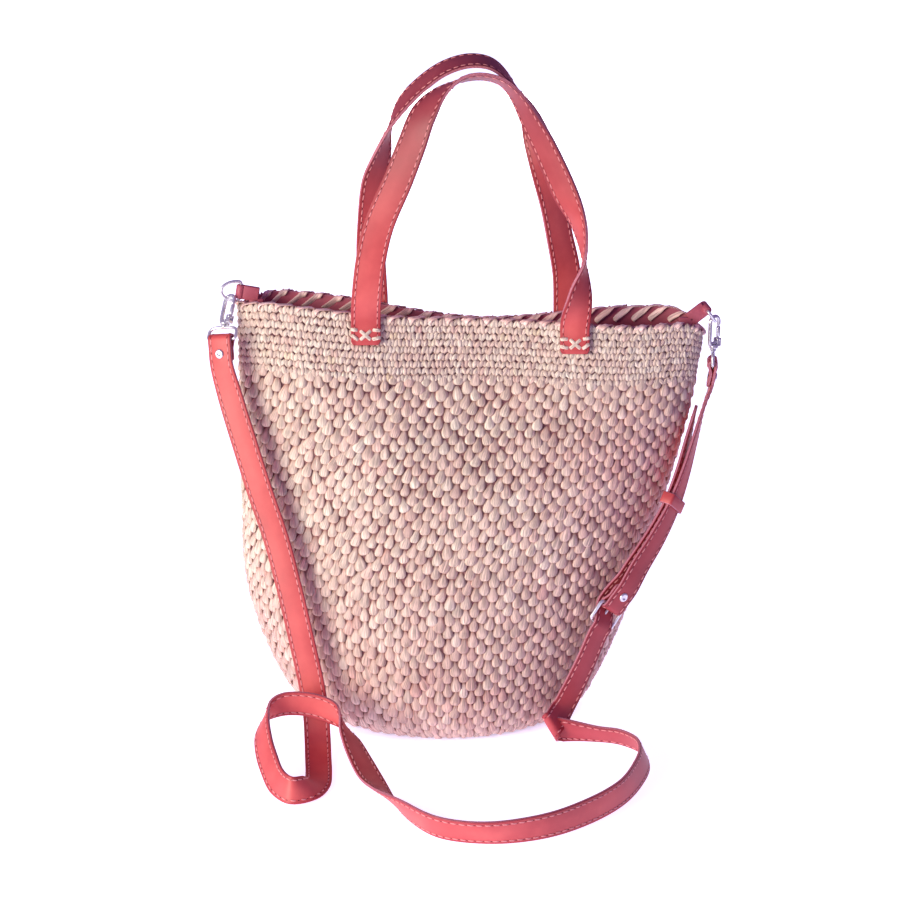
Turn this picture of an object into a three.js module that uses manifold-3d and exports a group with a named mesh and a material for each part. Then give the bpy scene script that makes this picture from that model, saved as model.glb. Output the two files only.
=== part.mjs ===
// A raffia tote bag: a crocheted pouch, two leather handles and a leather shoulder strap on snap hooks.
// Millimetres, +Z up, the front faces -Y. The origin is the middle of the base, on the surface it stands on.
import * as THREE from "three";
import { mergeVertices } from "three/addons/utils/BufferGeometryUtils.js";
import Module from "manifold-3d";

const wasm = await Module();
wasm.setup();

// Sizes that several pieces share
const CLEARANCE = 0.35;
const ROUND_SIDES = 12;

// Pouch
const BAG_HEIGHT = 345;
const BASE_THICKNESS = 5;
const ROUND_STEPS = 60;
const PINCH = { x: 30, reach: 95, depth: 0.64, fromHeight: 190 };
const BINDING = { height: 24, thickness: 2, above: 0.6, gap: 0.6 };

// Leather
const HANDLE = { width: 25, thickness: 3, step: 10, endDrop: 23, standOff: 0.5 };
const STRAP = { width: 22, thickness: 2.6, step: 11, wrapGap: 0.6 };
const TAB = { width: 12, plies: 5, reach: 16, eyeRadius: 3.7, patchWidth: 12, patchHeight: 24 };
const KEEPER = { length: 10, thickness: 1.6, slack: 0.8, up: 103, behind: 4.2 };
const FLAP_LENGTH = 20;
const RIVET = {
  fromBar: 12, shank: 1.5, head: 4, shoulder: 3.2, crown: 1.6, domeHeight: 1.3, shoulderHeight: 0.9,
  backHeight: 0.65,
};

// Metal
const WIRE = 1.4;
const RING = { halfBar: 8.6, depth: 17, corner: 2.6, wire: 1.3, play: 0.5 };
const HOOK = {
  bend: 5.2, bendHeight: 22.5, nose: 2.5, wire: 1.6, flat: 1.8, spineRise: 8.6, base: 3.6, baseRadius: 4,
  headRoom: 2.6, ringLift: 1.2,
};
const EAR = { thickness: 1, width: 4.4, inset: 0.6, above: 1.6, below: 1.4 };
const SEAT = { width: 5.2, height: 2.4, inset: 1 };
const GATE = { pivotHeight: 7, wire: 1.2, barrel: 1.8, pin: 0.8, barrelLength: 2.6, tipGap: 0.5 };
const EYE = {
  post: 1.5, head: 2.6, headHeight: 1.4, collar: 1.6, play: 0.45, drop: 12.8, halfTop: 5, halfBar: 13.4,
  shoulder: 5.4, corner: 2.6,
};
const BUCKLE = { halfWidth: 13.6, length: 18, corner: 3 };
const PRONG = { radius: 1.1, ring: 3, ringWidth: 3.2, beyond: 2.6, rootDrop: 1.6, slack: 0.1 };
const PRONG_SLOT = { width: 4, depth: 14, length: 12, middle: -8.4 };
const RING_SLOT = { width: 4.4, depth: 9, length: 8.5, middle: -1 };

const vec = (x, y, z) => new THREE.Vector3(x, y, z);
const table = (columns, rows) =>
  rows.map((row) => Object.fromEntries(columns.map((name, i) => [name, row[i]])));

// Outline of the pouch at each height: half depths in front and behind, wall thickness measured level
const SECTIONS = table(
  ["height", "left", "right", "front", "back", "wall", "roundness"],
  [
    [0, -100, 98, 86, 86, 14, 2],
    [4, -115, 111, 98, 98, 13, 2],
    [12, -131, 123, 105, 105, 10, 2],
    [26, -143, 132, 109, 109, 7.5, 2],
    [48, -154, 143, 107, 107, 6.2, 2],
    [75, -165, 154, 102, 101, 5.5, 2],
    [105, -173, 164, 95, 94, 5.5, 2.05],
    [140, -177, 174, 86, 84, 5.5, 2.1],
    [180, -177, 186, 75, 73, 5.5, 2.15],
    [225, -177, 199, 62, 60, 5.5, 2.2],
    [270, -177, 209, 49, 48, 5.2, 2.25],
    [310, -177, 215, 38, 38, 4.2, 2.3],
    [345, -177, 219, 31, 31, 4, 2.35],
  ],
);

// Height of the rim along the mouth, on its front and back lips
const RIM = table(
  ["x", "front", "back"],
  [
    [-177, 356, 357],
    [-150, 358, 365],
    [-115, 356, 362],
    [-40, 348, 350],
    [25, 345, 343],
    [95, 343, 345],
    [160, 339, 351],
    [203, 337, 350],
    [219, 332, 333],
  ],
);

// Middle line of each handle above the rim, with the direction across it
const ROUTE_COLUMNS = ["x", "y", "z", "ax", "ay", "az"];
const FRONT_HANDLE = {
  side: -1,
  leftFoot: -67,
  rightFoot: 108,
  rows: table(ROUTE_COLUMNS, [
    [-66, -31, 368, 1, 0, 0],
    [-62, -31, 401, 0.97, -0.08, -0.1],
    [-55, -29, 430, 0.93, -0.15, -0.25],
    [-39, -26, 467, 0.85, -0.3, -0.4],
    [-28, -23, 495, 0.8, -0.4, -0.35],
    [-18, -20, 520, 0.7, -0.6, -0.3],
    [-4, -17, 537, 0.4, -0.9, 0],
    [13, -15, 547, 0.1, -0.95, 0.24],
    [29, -14.5, 549.5, 0, -0.95, 0.28],
    [46, -14.5, 545, 0.1, -0.95, 0.28],
    [58, -15, 533, 0.3, -0.9, 0.3],
    [69, -16, 514, 0.5, -0.78, 0.36],
    [80, -17, 494, 0.62, -0.66, 0.4],
    [98, -19, 455, 0.7, -0.58, 0.4],
    [110, -21, 428, 0.42, -0.88, 0.2],
    [114.5, -24, 398, -0.05, -0.97, 0.2],
    [111.5, -27, 371, -0.78, -0.6, 0],
  ]),
};
const BACK_HANDLE = {
  side: 1,
  leftFoot: -62,
  rightFoot: 104,
  rows: table(ROUTE_COLUMNS, [
    [-63, 31, 368, 1, 0.05, 0],
    [-64, 29, 392, 0.98, 0.15, 0],
    [-63, 27, 419, 0.95, 0.28, 0],
    [-60, 23, 457, 0.82, 0.55, -0.1],
    [-54, 20, 479, 0.55, 0.82, -0.12],
    [-48, 17, 501, 0.05, 0.98, -0.15],
    [-37, 14.5, 522, -0.25, 0.94, 0.15],
    [-21, 13, 539, -0.2, 0.93, 0.3],
    [-1, 12.5, 553, -0.1, 0.94, 0.32],
    [20, 12.5, 559, 0, 0.95, 0.3],
    [38, 12.5, 556, 0.05, 0.96, 0.22],
    [54, 12.5, 541, -0.05, 0.99, 0.1],
    [68, 13.5, 518, -0.5, 0.84, -0.1],
    [79, 16, 484, -0.92, 0.25, -0.3],
    [89, 20, 445, -0.88, -0.4, -0.25],
    [96, 24, 411, -0.86, -0.48, -0.2],
    [103, 29, 376, -0.94, -0.28, -0.1],
  ]),
};

// Shoulder strap from the left hook down to the surface, round its loops and up to the fold on the right
const LEFT_RUN = table(ROUTE_COLUMNS, [
  [-181, -36, 286, -0.95, 0.25, -0.2],
  [-169, -48, 249, -0.96, 0.15, -0.25],
  [-156, -60, 210, -0.95, 0.1, -0.3],
  [-142, -72, 171, -0.95, 0.1, -0.3],
  [-131, -85, 132, -0.96, 0.1, -0.26],
  [-121, -96, 91, -0.97, 0.1, -0.22],
  [-112, -105, 50, -0.98, 0.08, -0.2],
  [-109, -110, 29, -0.99, 0.04, -0.1],
  [-107.5, -120, 12, -1, 0, -0.03],
  [-106, -140, 3.8, -1, 0, 0],
  [-104, -170, 2.6, -0.99, 0, 0.05],
  [-104, -193, 5.1, -0.93, 0.1, 0.33],
  [-110, -214, 9.7, -0.55, 0.35, 0.75],
  [-123, -222, 11.4, 0, 0.38, 0.92],
  [-135, -207, 12, 0.32, 0.28, 0.9],
  [-143, -186, 18, 0.5, 0.12, 0.85],
  [-149, -164, 25.4, 0.55, 0, 0.83],
  [-151, -146, 33.6, 0.5, -0.12, 0.85],
  [-147, -133, 41, 0.3, -0.2, 0.93],
  [-137, -126, 44.5, 0.1, -0.15, 0.98],
  [-124, -123, 44.5, 0, -0.12, 0.99],
  [-108, -124, 42.5, 0.05, -0.08, 0.99],
  [-94, -129, 38.4, 0, -0.1, 0.99],
  [-86, -137, 34, -0.3, -0.25, 0.9],
  [-79, -152, 27, -0.72, -0.4, 0.55],
  [-70.5, -173, 18.4, -0.85, -0.42, 0.3],
  [-61, -194, 10.5, -0.86, -0.45, 0.22],
  [-48, -226, 9, -0.7, -0.38, 0.6],
  [-32, -258, 11.4, -0.3, -0.3, 0.9],
  [-5, -289, 11.5, -0.08, -0.32, 0.95],
  [32, -298, 11.4, -0.04, -0.3, 0.95],
  [74, -287, 11.3, 0.05, -0.1, 0.99],
  [108, -263, 11.4, 0.02, 0.05, 1],
  [138, -228, 11.4, -0.1, 0.02, 0.99],
  [155, -190, 11.3, -0.3, -0.08, 0.95],
  [163, -156, 11, -0.38, -0.2, 0.9],
  [160, -131, 10.7, -0.3, -0.45, 0.84],
  [146, -114, 10.4, -0.1, -0.55, 0.83],
  [126, -107, 10.4, -0.05, -0.52, 0.85],
]);

// The fold on the right, where the strap rolls over and turns up towards the buckle
const FOLD = {
  at: vec(92, -101, 12.5),
  axis: vec(-0.5, 0.1, 0.86),
  arriving: vec(-0.93, -0.28, 0.02),
  radius: 4.6,
  turn: THREE.MathUtils.degToRad(150),
  steps: 7,
};

// From the fold up to the buckle, then the short strap from the buckle up to the right hook
const RISE = table(ROUTE_COLUMNS, [
  [99, -91, 27, -0.72, -0.3, 0.55],
  [108, -88.5, 45, -0.68, -0.4, 0.55],
  [118, -86, 67, -0.65, -0.47, 0.58],
]);
const SHORT_RUN = table(ROUTE_COLUMNS, [
  [163, -66, 144, -0.62, -0.52, 0.57],
  [179, -55.5, 168, -0.57, -0.62, 0.53],
  [193, -44, 193, -0.48, -0.75, 0.45],
  [203, -32, 217, -0.38, -0.85, 0.34],
  [211, -20, 241, -0.28, -0.92, 0.24],
  [218.5, -8, 264, -0.18, -0.97, 0.12],
]);

// Buckle's place: middle of its heel bar, direction up the strap, direction across it
const BUCKLE_PLACE = {
  at: vec(140, -73, 112),
  up: vec(0.55, 0.235, 0.8),
  across: vec(-0.642, -0.494, 0.588),
};
// The strap's way through the buckle: distance up from the heel bar and out from the frame's plane
const BUCKLE_RUN = table(
  ["up", "out"],
  [
    [-24, 3.9],
    [-18, 3.8],
    [-10, -1.8],
    [-3, -7],
    [4, -7.6],
    [14, -6.4],
  ],
);
// How far the strap's free end lies behind the short strap, by distance up from the heel bar
const FREE_END = table(
  ["up", "behind"],
  [
    [26, 7.8],
    [38, 6.2],
    [54, 4.9],
    [78, 4.3],
    [103, 4.2],
    [128, 4.8],
    [160, 5.8],
    [190, 6.6],
  ],
);

// Each end of the mouth: the tab's loop, its D-ring and the snap hook that hangs on it
const SIDES = {
  left: {
    bar: vec(-173.5, 0, 367.3),
    tabOut: vec(-0.985, 0, 0.17),
    barAxis: vec(0.17, 0, 0.985),
    ringOut: vec(-0.893, -0.423, 0.154),
    hang: { out: 8, along: -7.97 },
    patch: { x: -160, z: 349 },
    hookUp: vec(0.16, 0.6, 0.78),
    hookAcross: vec(0.66, -0.72, 0),
    eyeAcross: vec(-0.86, 0.505, -0.05),
  },
  right: {
    bar: vec(219, 0, 353.2),
    tabOut: vec(0.78, 0, 0.62),
    barAxis: vec(0.3, -0.9, -0.3),
    ringOut: vec(0.52, 0.42, -0.75),
    hang: { out: 16.9, along: 1 },
    patch: { x: 203, z: 333 },
    hookUp: vec(0.02, 0, 1),
    hookAcross: vec(0.75, 0.66, 0),
    eyeAcross: vec(-0.1, -0.99, 0),
  },
};

// Materials
const raffia = () => new THREE.MeshStandardMaterial({ color: 0xd9b7a0, roughness: 0.85 });
const leather = () => new THREE.MeshStandardMaterial({ color: 0xb5473a, roughness: 0.5 });
const bindingLeather = () => new THREE.MeshStandardMaterial({ color: 0x6a2a30, roughness: 0.6 });
const nickel = () => new THREE.MeshStandardMaterial({ color: 0xc9c9cf, roughness: 0.25, metalness: 1 });

// A closed body through rings of points, each ring turning left as seen from the ring after it
function loft(rings, closed = false) {
  const sides = rings[0].length;
  const points = rings.flat();
  const faces = [];
  const spans = closed ? rings.length : rings.length - 1;
  for (let i = 0; i < spans; i += 1) {
    const here = i * sides;
    const next = ((i + 1) % rings.length) * sides;
    for (let j = 0; j < sides; j += 1) {
      const k = (j + 1) % sides;
      faces.push(here + j, here + k, next + k, here + j, next + k, next + j);
    }
  }
  const cap = (start, turned) => {
    const ring = points.slice(start, start + sides);
    const middle = ring.reduce((sum, p) => sum.add(p), vec(0, 0, 0)).divideScalar(sides);
    const centre = points.push(middle) - 1;
    for (let j = 0; j < sides; j += 1) {
      const edge = [start + j, start + ((j + 1) % sides)];
      faces.push(centre, ...(turned ? edge.reverse() : edge));
    }
  };
  if (!closed) {
    cap(0, true);
    cap((rings.length - 1) * sides, false);
  }
  const geometry = new THREE.BufferGeometry().setFromPoints(points).setIndex(faces);
  geometry.computeVertexNormals();
  return geometry;
}

// Joins and cuts
function toSolid(geometry, matrix = new THREE.Matrix4()) {
  const bare = geometry.clone().applyMatrix4(matrix);
  bare.deleteAttribute("normal");
  bare.deleteAttribute("uv");
  const merged = mergeVertices(bare, 1e-4);
  return new wasm.Manifold(
    new wasm.Mesh({
      numProp: 3,
      vertProperties: merged.attributes.position.array,
      triVerts: new Uint32Array(merged.index.array),
    }),
  );
}
function toGeometry(solid) {
  const mesh = solid.getMesh();
  const geometry = new THREE.BufferGeometry();
  geometry.setAttribute("position", new THREE.BufferAttribute(mesh.vertProperties, 3));
  geometry.setIndex(new THREE.BufferAttribute(mesh.triVerts, 1));
  geometry.computeVertexNormals();
  return geometry;
}

// A place: an origin with its x axis along across and its z axis along up
function place(at, across, up) {
  const z = up.clone().normalize();
  const x = across.clone().addScaledVector(z, -across.dot(z)).normalize();
  const y = z.clone().cross(x);
  return new THREE.Matrix4().makeBasis(x, y, z).setPosition(at);
}
function groupAt(matrix) {
  const group = new THREE.Group();
  group.applyMatrix4(matrix);
  return group;
}
// A rod between two points
function rod(from, to, radius, sides = ROUND_SIDES) {
  const along = to.clone().sub(from);
  const geometry = new THREE.CylinderGeometry(radius, radius, along.length(), sides);
  const turn = new THREE.Quaternion().setFromUnitVectors(vec(0, 1, 0), along.clone().normalize());
  const middle = from.clone().lerp(to, 0.5);
  return geometry.applyMatrix4(new THREE.Matrix4().makeRotationFromQuaternion(turn).setPosition(middle));
}
function block(size, at) {
  return new THREE.BoxGeometry(size.x, size.y, size.z).translate(at.x, at.y, at.z);
}
// A bent wire that lies in the plane with the given normal
function wire(points, normal, radius, thickness, closed, sides = 8) {
  const last = points.length - 1;
  const rings = points.map((point, i) => {
    const before = points[i > 0 ? i - 1 : closed ? last : 0];
    const after = points[i < last ? i + 1 : closed ? 0 : last];
    const along = after.clone().sub(before).normalize();
    const side = normal.clone().cross(along);
    return Array.from({ length: sides }, (_, j) => {
      const angle = (2 * Math.PI * (j + 0.5)) / sides;
      const out = side.clone().multiplyScalar(radius * Math.cos(angle));
      return out.addScaledVector(normal, thickness * Math.sin(angle)).add(point);
    });
  });
  return loft(rings, closed);
}
// Points of a flat path, without its repeated ends, in the local XZ plane
function flatPoints(path, divisions) {
  const points = path.getPoints(divisions).map((p) => vec(p.x, 0, p.y));
  return points.filter((p, i) => p.distanceTo(points[(i + 1) % points.length]) > 0.05);
}

// Pouch
function curvesOf(rows, key) {
  const names = Object.keys(rows[0]).filter((name) => name !== key);
  const values = rows.flatMap((row) => names.map((name) => row[name]));
  const curve = new THREE.CubicInterpolant(rows.map((row) => row[key]), values, names.length);
  return (at) => {
    const result = curve.evaluate(at);
    return Object.fromEntries(names.map((name, i) => [name, result[i]]));
  };
}
const sectionAt = curvesOf(SECTIONS, "height");
const rimAt = curvesOf(RIM, "x");
const rounded = (value, roundness) => Math.sign(value) * Math.abs(value) ** (2 / roundness);

function pinchAt(height, x) {
  const closing = THREE.MathUtils.smoothstep(height, PINCH.fromHeight, BAG_HEIGHT);
  return PINCH.depth * closing * Math.exp(-(((x - PINCH.x) / PINCH.reach) ** 2));
}
function rimLift(x, side) {
  const rim = rimAt(x);
  return THREE.MathUtils.lerp(rim.front, rim.back, (side + 1) / 2) - BAG_HEIGHT;
}
// A point of the pouch at a height and an angle round it, set in from its outside
function wallPoint(height, angle, inset = 0) {
  const section = sectionAt(height);
  const side = Math.sin(angle);
  const halfWidth = (section.right - section.left) / 2 - inset;
  const x = (section.left + section.right) / 2 + halfWidth * rounded(Math.cos(angle), section.roundness);
  const open = (side > 0 ? section.back : section.front) * (1 - pinchAt(height, x));
  const y = (open - inset) * rounded(side, section.roundness);
  return vec(x, y, height + rimLift(x, side) * (height / BAG_HEIGHT) ** 3);
}
const ANGLES = Array.from({ length: ROUND_STEPS }, (_, i) => (2 * Math.PI * i) / ROUND_STEPS);
const wallRing = (height, inset) => ANGLES.map((angle) => wallPoint(height, angle, inset));

function pouchGeometry() {
  const outside = SECTIONS.map((row) => wallRing(row.height, 0));
  const inside = SECTIONS.slice(2).map((row) => wallRing(row.height, row.wall));
  const floor = wallRing(BASE_THICKNESS, sectionAt(BASE_THICKNESS).wall);
  return loft([...outside, ...inside.reverse(), floor]);
}
function bindingGeometry() {
  const outer = sectionAt(BAG_HEIGHT).wall + BINDING.gap;
  const inner = outer + BINDING.thickness;
  const top = BAG_HEIGHT + BINDING.above;
  const low = BAG_HEIGHT - BINDING.height;
  const lowShift = sectionAt(low).wall - sectionAt(BAG_HEIGHT).wall;
  const rings = ANGLES.map((angle) => [
    wallPoint(top, angle, outer),
    wallPoint(low, angle, outer + lowShift),
    wallPoint(low, angle, inner + lowShift),
    wallPoint(top, angle, inner),
  ]);
  return loft(rings, true);
}
// The outside of the wall at a place along it: side is -1 in front and 1 behind
function wallSpot(x, z, side) {
  const height = z - rimLift(x, side) * (z / BAG_HEIGHT) ** 3;
  const section = sectionAt(height);
  const across = (2 * x - section.left - section.right) / (section.right - section.left);
  const depth = (1 - Math.abs(across) ** section.roundness) ** (1 / section.roundness);
  const open = (side > 0 ? section.back : section.front) * (1 - pinchAt(height, x));
  return vec(x, side * open * depth, z);
}

// Straps
const routeOf = (rows) => rows.map((r) => ({ at: vec(r.x, r.y, r.z), across: vec(r.ax, r.ay, r.az) }));
// Cross-sections along a strap: a slanted row keeps its across direction, any other is made square
function strapFrames(route, size) {
  const path = new THREE.CatmullRomCurve3(route.map((row) => row.at), false, "centripetal");
  const turning = new THREE.CatmullRomCurve3(route.map((row) => row.across), false, "catmullrom");
  const frames = [];
  const last = route.length - 1;
  const frameAt = (position) => {
    const t = Math.min(position / last, 1);
    const i = Math.min(Math.floor(position), last - 1);
    const slant = THREE.MathUtils.lerp(route[i].slant ?? 0, route[i + 1].slant ?? 0, position - i);
    const along = path.getTangent(t);
    const raw = turning.getPoint(t).normalize();
    const square = raw.clone().addScaledVector(along, -raw.dot(along)).normalize();
    const across = square.lerp(raw, slant).normalize();
    const out = along.clone().cross(across);
    const half = size.width / 2 / out.length();
    frames.push({ at: path.getPoint(t), along, across, out: out.normalize(), half });
  };
  for (let i = 0; i < last; i += 1) {
    const steps = Math.max(1, Math.round(route[i].at.distanceTo(route[i + 1].at) / size.step));
    for (let s = 0; s < steps; s += 1) {
      frameAt(i + s / steps);
    }
  }
  frameAt(last);
  return frames;
}
function strapGeometry(frames, thickness) {
  const corners = [[1, 1], [-1, 1], [-1, -1], [1, -1]];
  const rings = frames.map((frame) =>
    corners.map(([side, face]) =>
      frame.at
        .clone()
        .addScaledVector(frame.across, side * frame.half)
        .addScaledVector(frame.out, (face * thickness) / 2),
    ),
  );
  return loft(rings);
}
// A strap's end folded round a bar: rows from the flap's end, round the bar, to the strap's own run
const WRAP_RADIUS = WIRE + STRAP.wrapGap + STRAP.thickness / 2;
const PLY_PITCH = STRAP.thickness + CLEARANCE;
const WRAP_STEPS = 6;
function wrapRoute(bar, run, across, face) {
  const row = (along, out) => ({
    at: bar.clone().addScaledVector(run, along).addScaledVector(face, out),
    across,
  });
  const bend = Array.from({ length: WRAP_STEPS + 1 }, (_, i) => {
    const angle = Math.PI * (i / WRAP_STEPS);
    return row(-WRAP_RADIUS * Math.sin(angle), -WRAP_RADIUS * Math.cos(angle));
  });
  const flapOut = WRAP_RADIUS - PLY_PITCH;
  const flapFlat = RIVET.fromBar - RIVET.head - STRAP.wrapGap;
  const flap = [row(FLAP_LENGTH, flapOut), row(RIVET.fromBar, flapOut), row(flapFlat, flapOut)];
  const closing = row(flapFlat / 2, flapOut - WRAP_RADIUS / 2);
  return [...flap, closing, ...bend, row(flapFlat, WRAP_RADIUS), row(FLAP_LENGTH, WRAP_RADIUS)];
}
// The strap rolling over a slanted axis, as a helix on a thin cylinder
function foldRoute(fold) {
  const axis = fold.axis.clone().normalize();
  const start = fold.arriving.clone().normalize();
  const rise = start.dot(axis);
  const level = start.clone().addScaledVector(axis, -rise);
  const pace = rise / level.length();
  const out = level.clone().normalize().cross(axis);
  const centre = fold.at.clone().addScaledVector(out, -fold.radius);
  return Array.from({ length: fold.steps + 1 }, (_, i) => {
    const angle = fold.turn * (i / fold.steps);
    const at = out.clone().applyAxisAngle(axis, angle).multiplyScalar(fold.radius).add(centre);
    return { at: at.addScaledVector(axis, pace * fold.radius * angle), across: axis, slant: 1 };
  });
}

// Handles, whose ends lie flat on the outside of the wall
function handleFrames(handle) {
  const lift = HANDLE.thickness / 2 + CLEARANCE + HANDLE.standOff;
  const foot = (x, turned) => {
    const rim = rimLift(x, handle.side) + BAG_HEIGHT;
    const rows = [HANDLE.endDrop, HANDLE.endDrop / 2, 0].map((drop) => {
      const spot = wallSpot(x, rim - drop, handle.side);
      const across = wallSpot(x + 5, rim - drop, handle.side).sub(wallSpot(x - 5, rim - drop, handle.side));
      const at = spot.add(vec(0, handle.side * lift, 0));
      return { at, across: across.normalize().multiplyScalar(turned) };
    });
    return turned > 0 ? rows : rows.reverse();
  };
  const route = [...foot(handle.leftFoot, 1), ...routeOf(handle.rows), ...foot(handle.rightFoot, -1)];
  return strapFrames(route, HANDLE);
}
const handleGeometry = (handle) => strapGeometry(handleFrames(handle), HANDLE.thickness);

// Tabs, rings and hooks
function tabGeometry(side) {
  const out = side.tabOut;
  const loopMiddle = side.bar.clone().addScaledVector(out, -TAB.reach / 2);
  const loop = new THREE.BoxGeometry(TAB.width, TAB.plies, TAB.reach);
  const patch = block(vec(TAB.patchWidth, TAB.plies, TAB.patchHeight), vec(side.patch.x, 0, side.patch.z));
  const flatAxis = vec(-out.z, 0, out.x);
  const half = side.barAxis.clone().normalize().multiplyScalar(TAB.width / 2);
  const eye = rod(side.bar.clone().sub(half), side.bar.clone().add(half), TAB.eyeRadius);
  const long = half.clone().multiplyScalar(2);
  const bore = rod(side.bar.clone().sub(long), side.bar.clone().add(long), RING.wire + RING.play);
  const joined = toSolid(loop, place(loopMiddle, flatAxis, out)).add(toSolid(patch)).add(toSolid(eye));
  return toGeometry(joined.subtract(toSolid(bore)));
}
// In its place, x points away from the bar and z runs along it
function ringGeometry() {
  const { halfBar, depth, corner, wire: radius } = RING;
  const outline = new THREE.Path();
  outline.moveTo(0, corner - halfBar);
  outline.lineTo(0, halfBar - corner);
  outline.absarc(corner, halfBar - corner, corner, Math.PI, Math.PI / 2, true);
  outline.absellipse(corner, 0, depth - corner, halfBar, Math.PI / 2, -Math.PI / 2, true, 0);
  outline.absarc(corner, corner - halfBar, corner, -Math.PI / 2, -Math.PI, true);
  return wire(flatPoints(outline, 6), vec(0, 1, 0), radius, radius, true, 6);
}
// In its place, z runs up the swivel's axis and x points from the spine to the gate
function hookGeometry() {
  const { bend, bendHeight, base, baseRadius } = HOOK;
  const spine = new THREE.Path();
  spine.moveTo(0, base / 2);
  spine.quadraticCurveTo(-bend, base, -bend, HOOK.spineRise);
  spine.lineTo(-bend, bendHeight);
  spine.absarc(0, bendHeight, bend, Math.PI, 0, true);
  spine.lineTo(bend, bendHeight - HOOK.nose);
  let hook = toSolid(wire(flatPoints(spine, 8), vec(0, 1, 0), HOOK.wire, HOOK.flat, false));
  hook = hook.add(toSolid(rod(vec(0, 0, 0), vec(0, 0, base), baseRadius)));
  const earLow = base - EAR.below;
  const earTop = GATE.pivotHeight + EAR.above;
  const earGap = GATE.barrelLength / 2 + CLEARANCE;
  const earOut = earGap + EAR.thickness / 2;
  for (const turn of [-1, 1]) {
    const middle = vec(bend - EAR.inset, turn * earOut, (earLow + earTop) / 2);
    hook = hook.add(toSolid(block(vec(EAR.width, EAR.thickness, earTop - earLow), middle)));
  }
  const seat = vec(SEAT.width, 2 * (earGap + EAR.thickness), SEAT.height);
  hook = hook.add(toSolid(block(seat, vec(bend - SEAT.inset, 0, base - SEAT.height / 2))));
  const pivot = GATE.pivotHeight;
  hook = hook.add(toSolid(rod(vec(bend, -earOut, pivot), vec(bend, earOut, pivot), GATE.pin)));
  const bore = rod(vec(0, 0, -base), vec(0, 0, 2 * base), EYE.post + CLEARANCE);
  const room = rod(vec(0, 0, base), vec(0, 0, base + HOOK.headRoom), EYE.head + CLEARANCE);
  return toGeometry(hook.subtract(toSolid(bore)).subtract(toSolid(room)));
}
function gateGeometry() {
  const pivot = vec(HOOK.bend, 0, GATE.pivotHeight);
  const half = vec(0, GATE.barrelLength / 2, 0);
  const long = vec(0, GATE.barrelLength, 0);
  const tip = vec(HOOK.bend, 0, HOOK.bendHeight - HOOK.nose - GATE.tipGap);
  const barrel = rod(pivot.clone().sub(half), pivot.clone().add(half), GATE.barrel);
  const bore = rod(pivot.clone().sub(long), pivot.clone().add(long), GATE.pin + CLEARANCE);
  const bar = rod(pivot, tip, GATE.wire);
  return toGeometry(toSolid(barrel).add(toSolid(bar)).subtract(toSolid(bore)));
}
function eyeGeometry() {
  const { halfTop, halfBar, drop, shoulder, corner } = EYE;
  const top = -EYE.play - EYE.collar;
  const outline = new THREE.Path();
  outline.moveTo(-halfTop, top);
  outline.lineTo(halfTop, top);
  outline.quadraticCurveTo(halfBar, top, halfBar, shoulder - drop);
  outline.lineTo(halfBar, corner - drop);
  outline.quadraticCurveTo(halfBar, -drop, halfBar - corner, -drop);
  outline.lineTo(corner - halfBar, -drop);
  outline.quadraticCurveTo(-halfBar, -drop, -halfBar, corner - drop);
  outline.lineTo(-halfBar, shoulder - drop);
  outline.quadraticCurveTo(-halfBar, top, -halfTop, top);
  let eye = toSolid(wire(flatPoints(outline, 4), vec(0, -1, 0), WIRE, WIRE, true, 7));
  const headFrom = HOOK.base + EYE.play;
  const headTop = headFrom + EYE.headHeight;
  eye = eye.add(toSolid(rod(vec(0, 0, top), vec(0, 0, -EYE.play), EYE.head)));
  eye = eye.add(toSolid(rod(vec(0, 0, top), vec(0, 0, (headFrom + headTop) / 2), EYE.post)));
  return toGeometry(eye.add(toSolid(rod(vec(0, 0, headFrom), vec(0, 0, headTop), EYE.head))));
}

// Where each hook hangs: the ring's wire lies in its bend, the eye's bar carries the strap
function hangOf(side) {
  const ring = place(side.bar, side.ringOut, side.barAxis);
  const held = vec(side.hang.out, 0, side.hang.along).applyMatrix4(ring);
  const up = side.hookUp.clone().normalize();
  const swivel = held.clone().addScaledVector(up, -(HOOK.bendHeight + HOOK.ringLift));
  const eye = place(swivel, side.eyeAcross, up);
  const bar = vec(0, 0, -EYE.drop).applyMatrix4(eye);
  return { ring, hook: place(swivel, side.hookAcross, up), eye, bar };
}

// Shoulder strap
const hang = { left: hangOf(SIDES.left), right: hangOf(SIDES.right) };
const buckle = place(BUCKLE_PLACE.at, BUCKLE_PLACE.across, BUCKLE_PLACE.up);
const axisOf = (matrix, column) => vec(0, 0, 0).setFromMatrixColumn(matrix, column);

// The strap's run from a bar towards a point, square to the bar, and the face it shows
function wrapAt(bar, across, towards, facing) {
  const side = across.clone().normalize();
  const run = towards.clone().sub(bar);
  run.addScaledVector(side, -run.dot(side)).normalize();
  const face = run.clone().cross(side);
  face.multiplyScalar(Math.sign(face.dot(facing)));
  return { bar, run, face, side, route: wrapRoute(bar, run, side, face) };
}
const FRONT = vec(0, -1, 0);
const OUTSIDE = vec(0.6, -0.8, 0);
const leftRoute = routeOf(LEFT_RUN);
const shortRoute = routeOf(SHORT_RUN);
const leftWrap = wrapAt(hang.left.bar, axisOf(hang.left.eye, 0), leftRoute[0].at, FRONT);
const rightWrap = wrapAt(hang.right.bar, axisOf(hang.right.eye, 0), shortRoute.at(-1).at, vec(1, 0, 0));
const buckleWrap = wrapAt(BUCKLE_PLACE.at, axisOf(buckle, 0), shortRoute[0].at, OUTSIDE);

const shortFrames = strapFrames(
  [...buckleWrap.route, ...shortRoute, ...rightWrap.route.toReversed()],
  STRAP,
);
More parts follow.
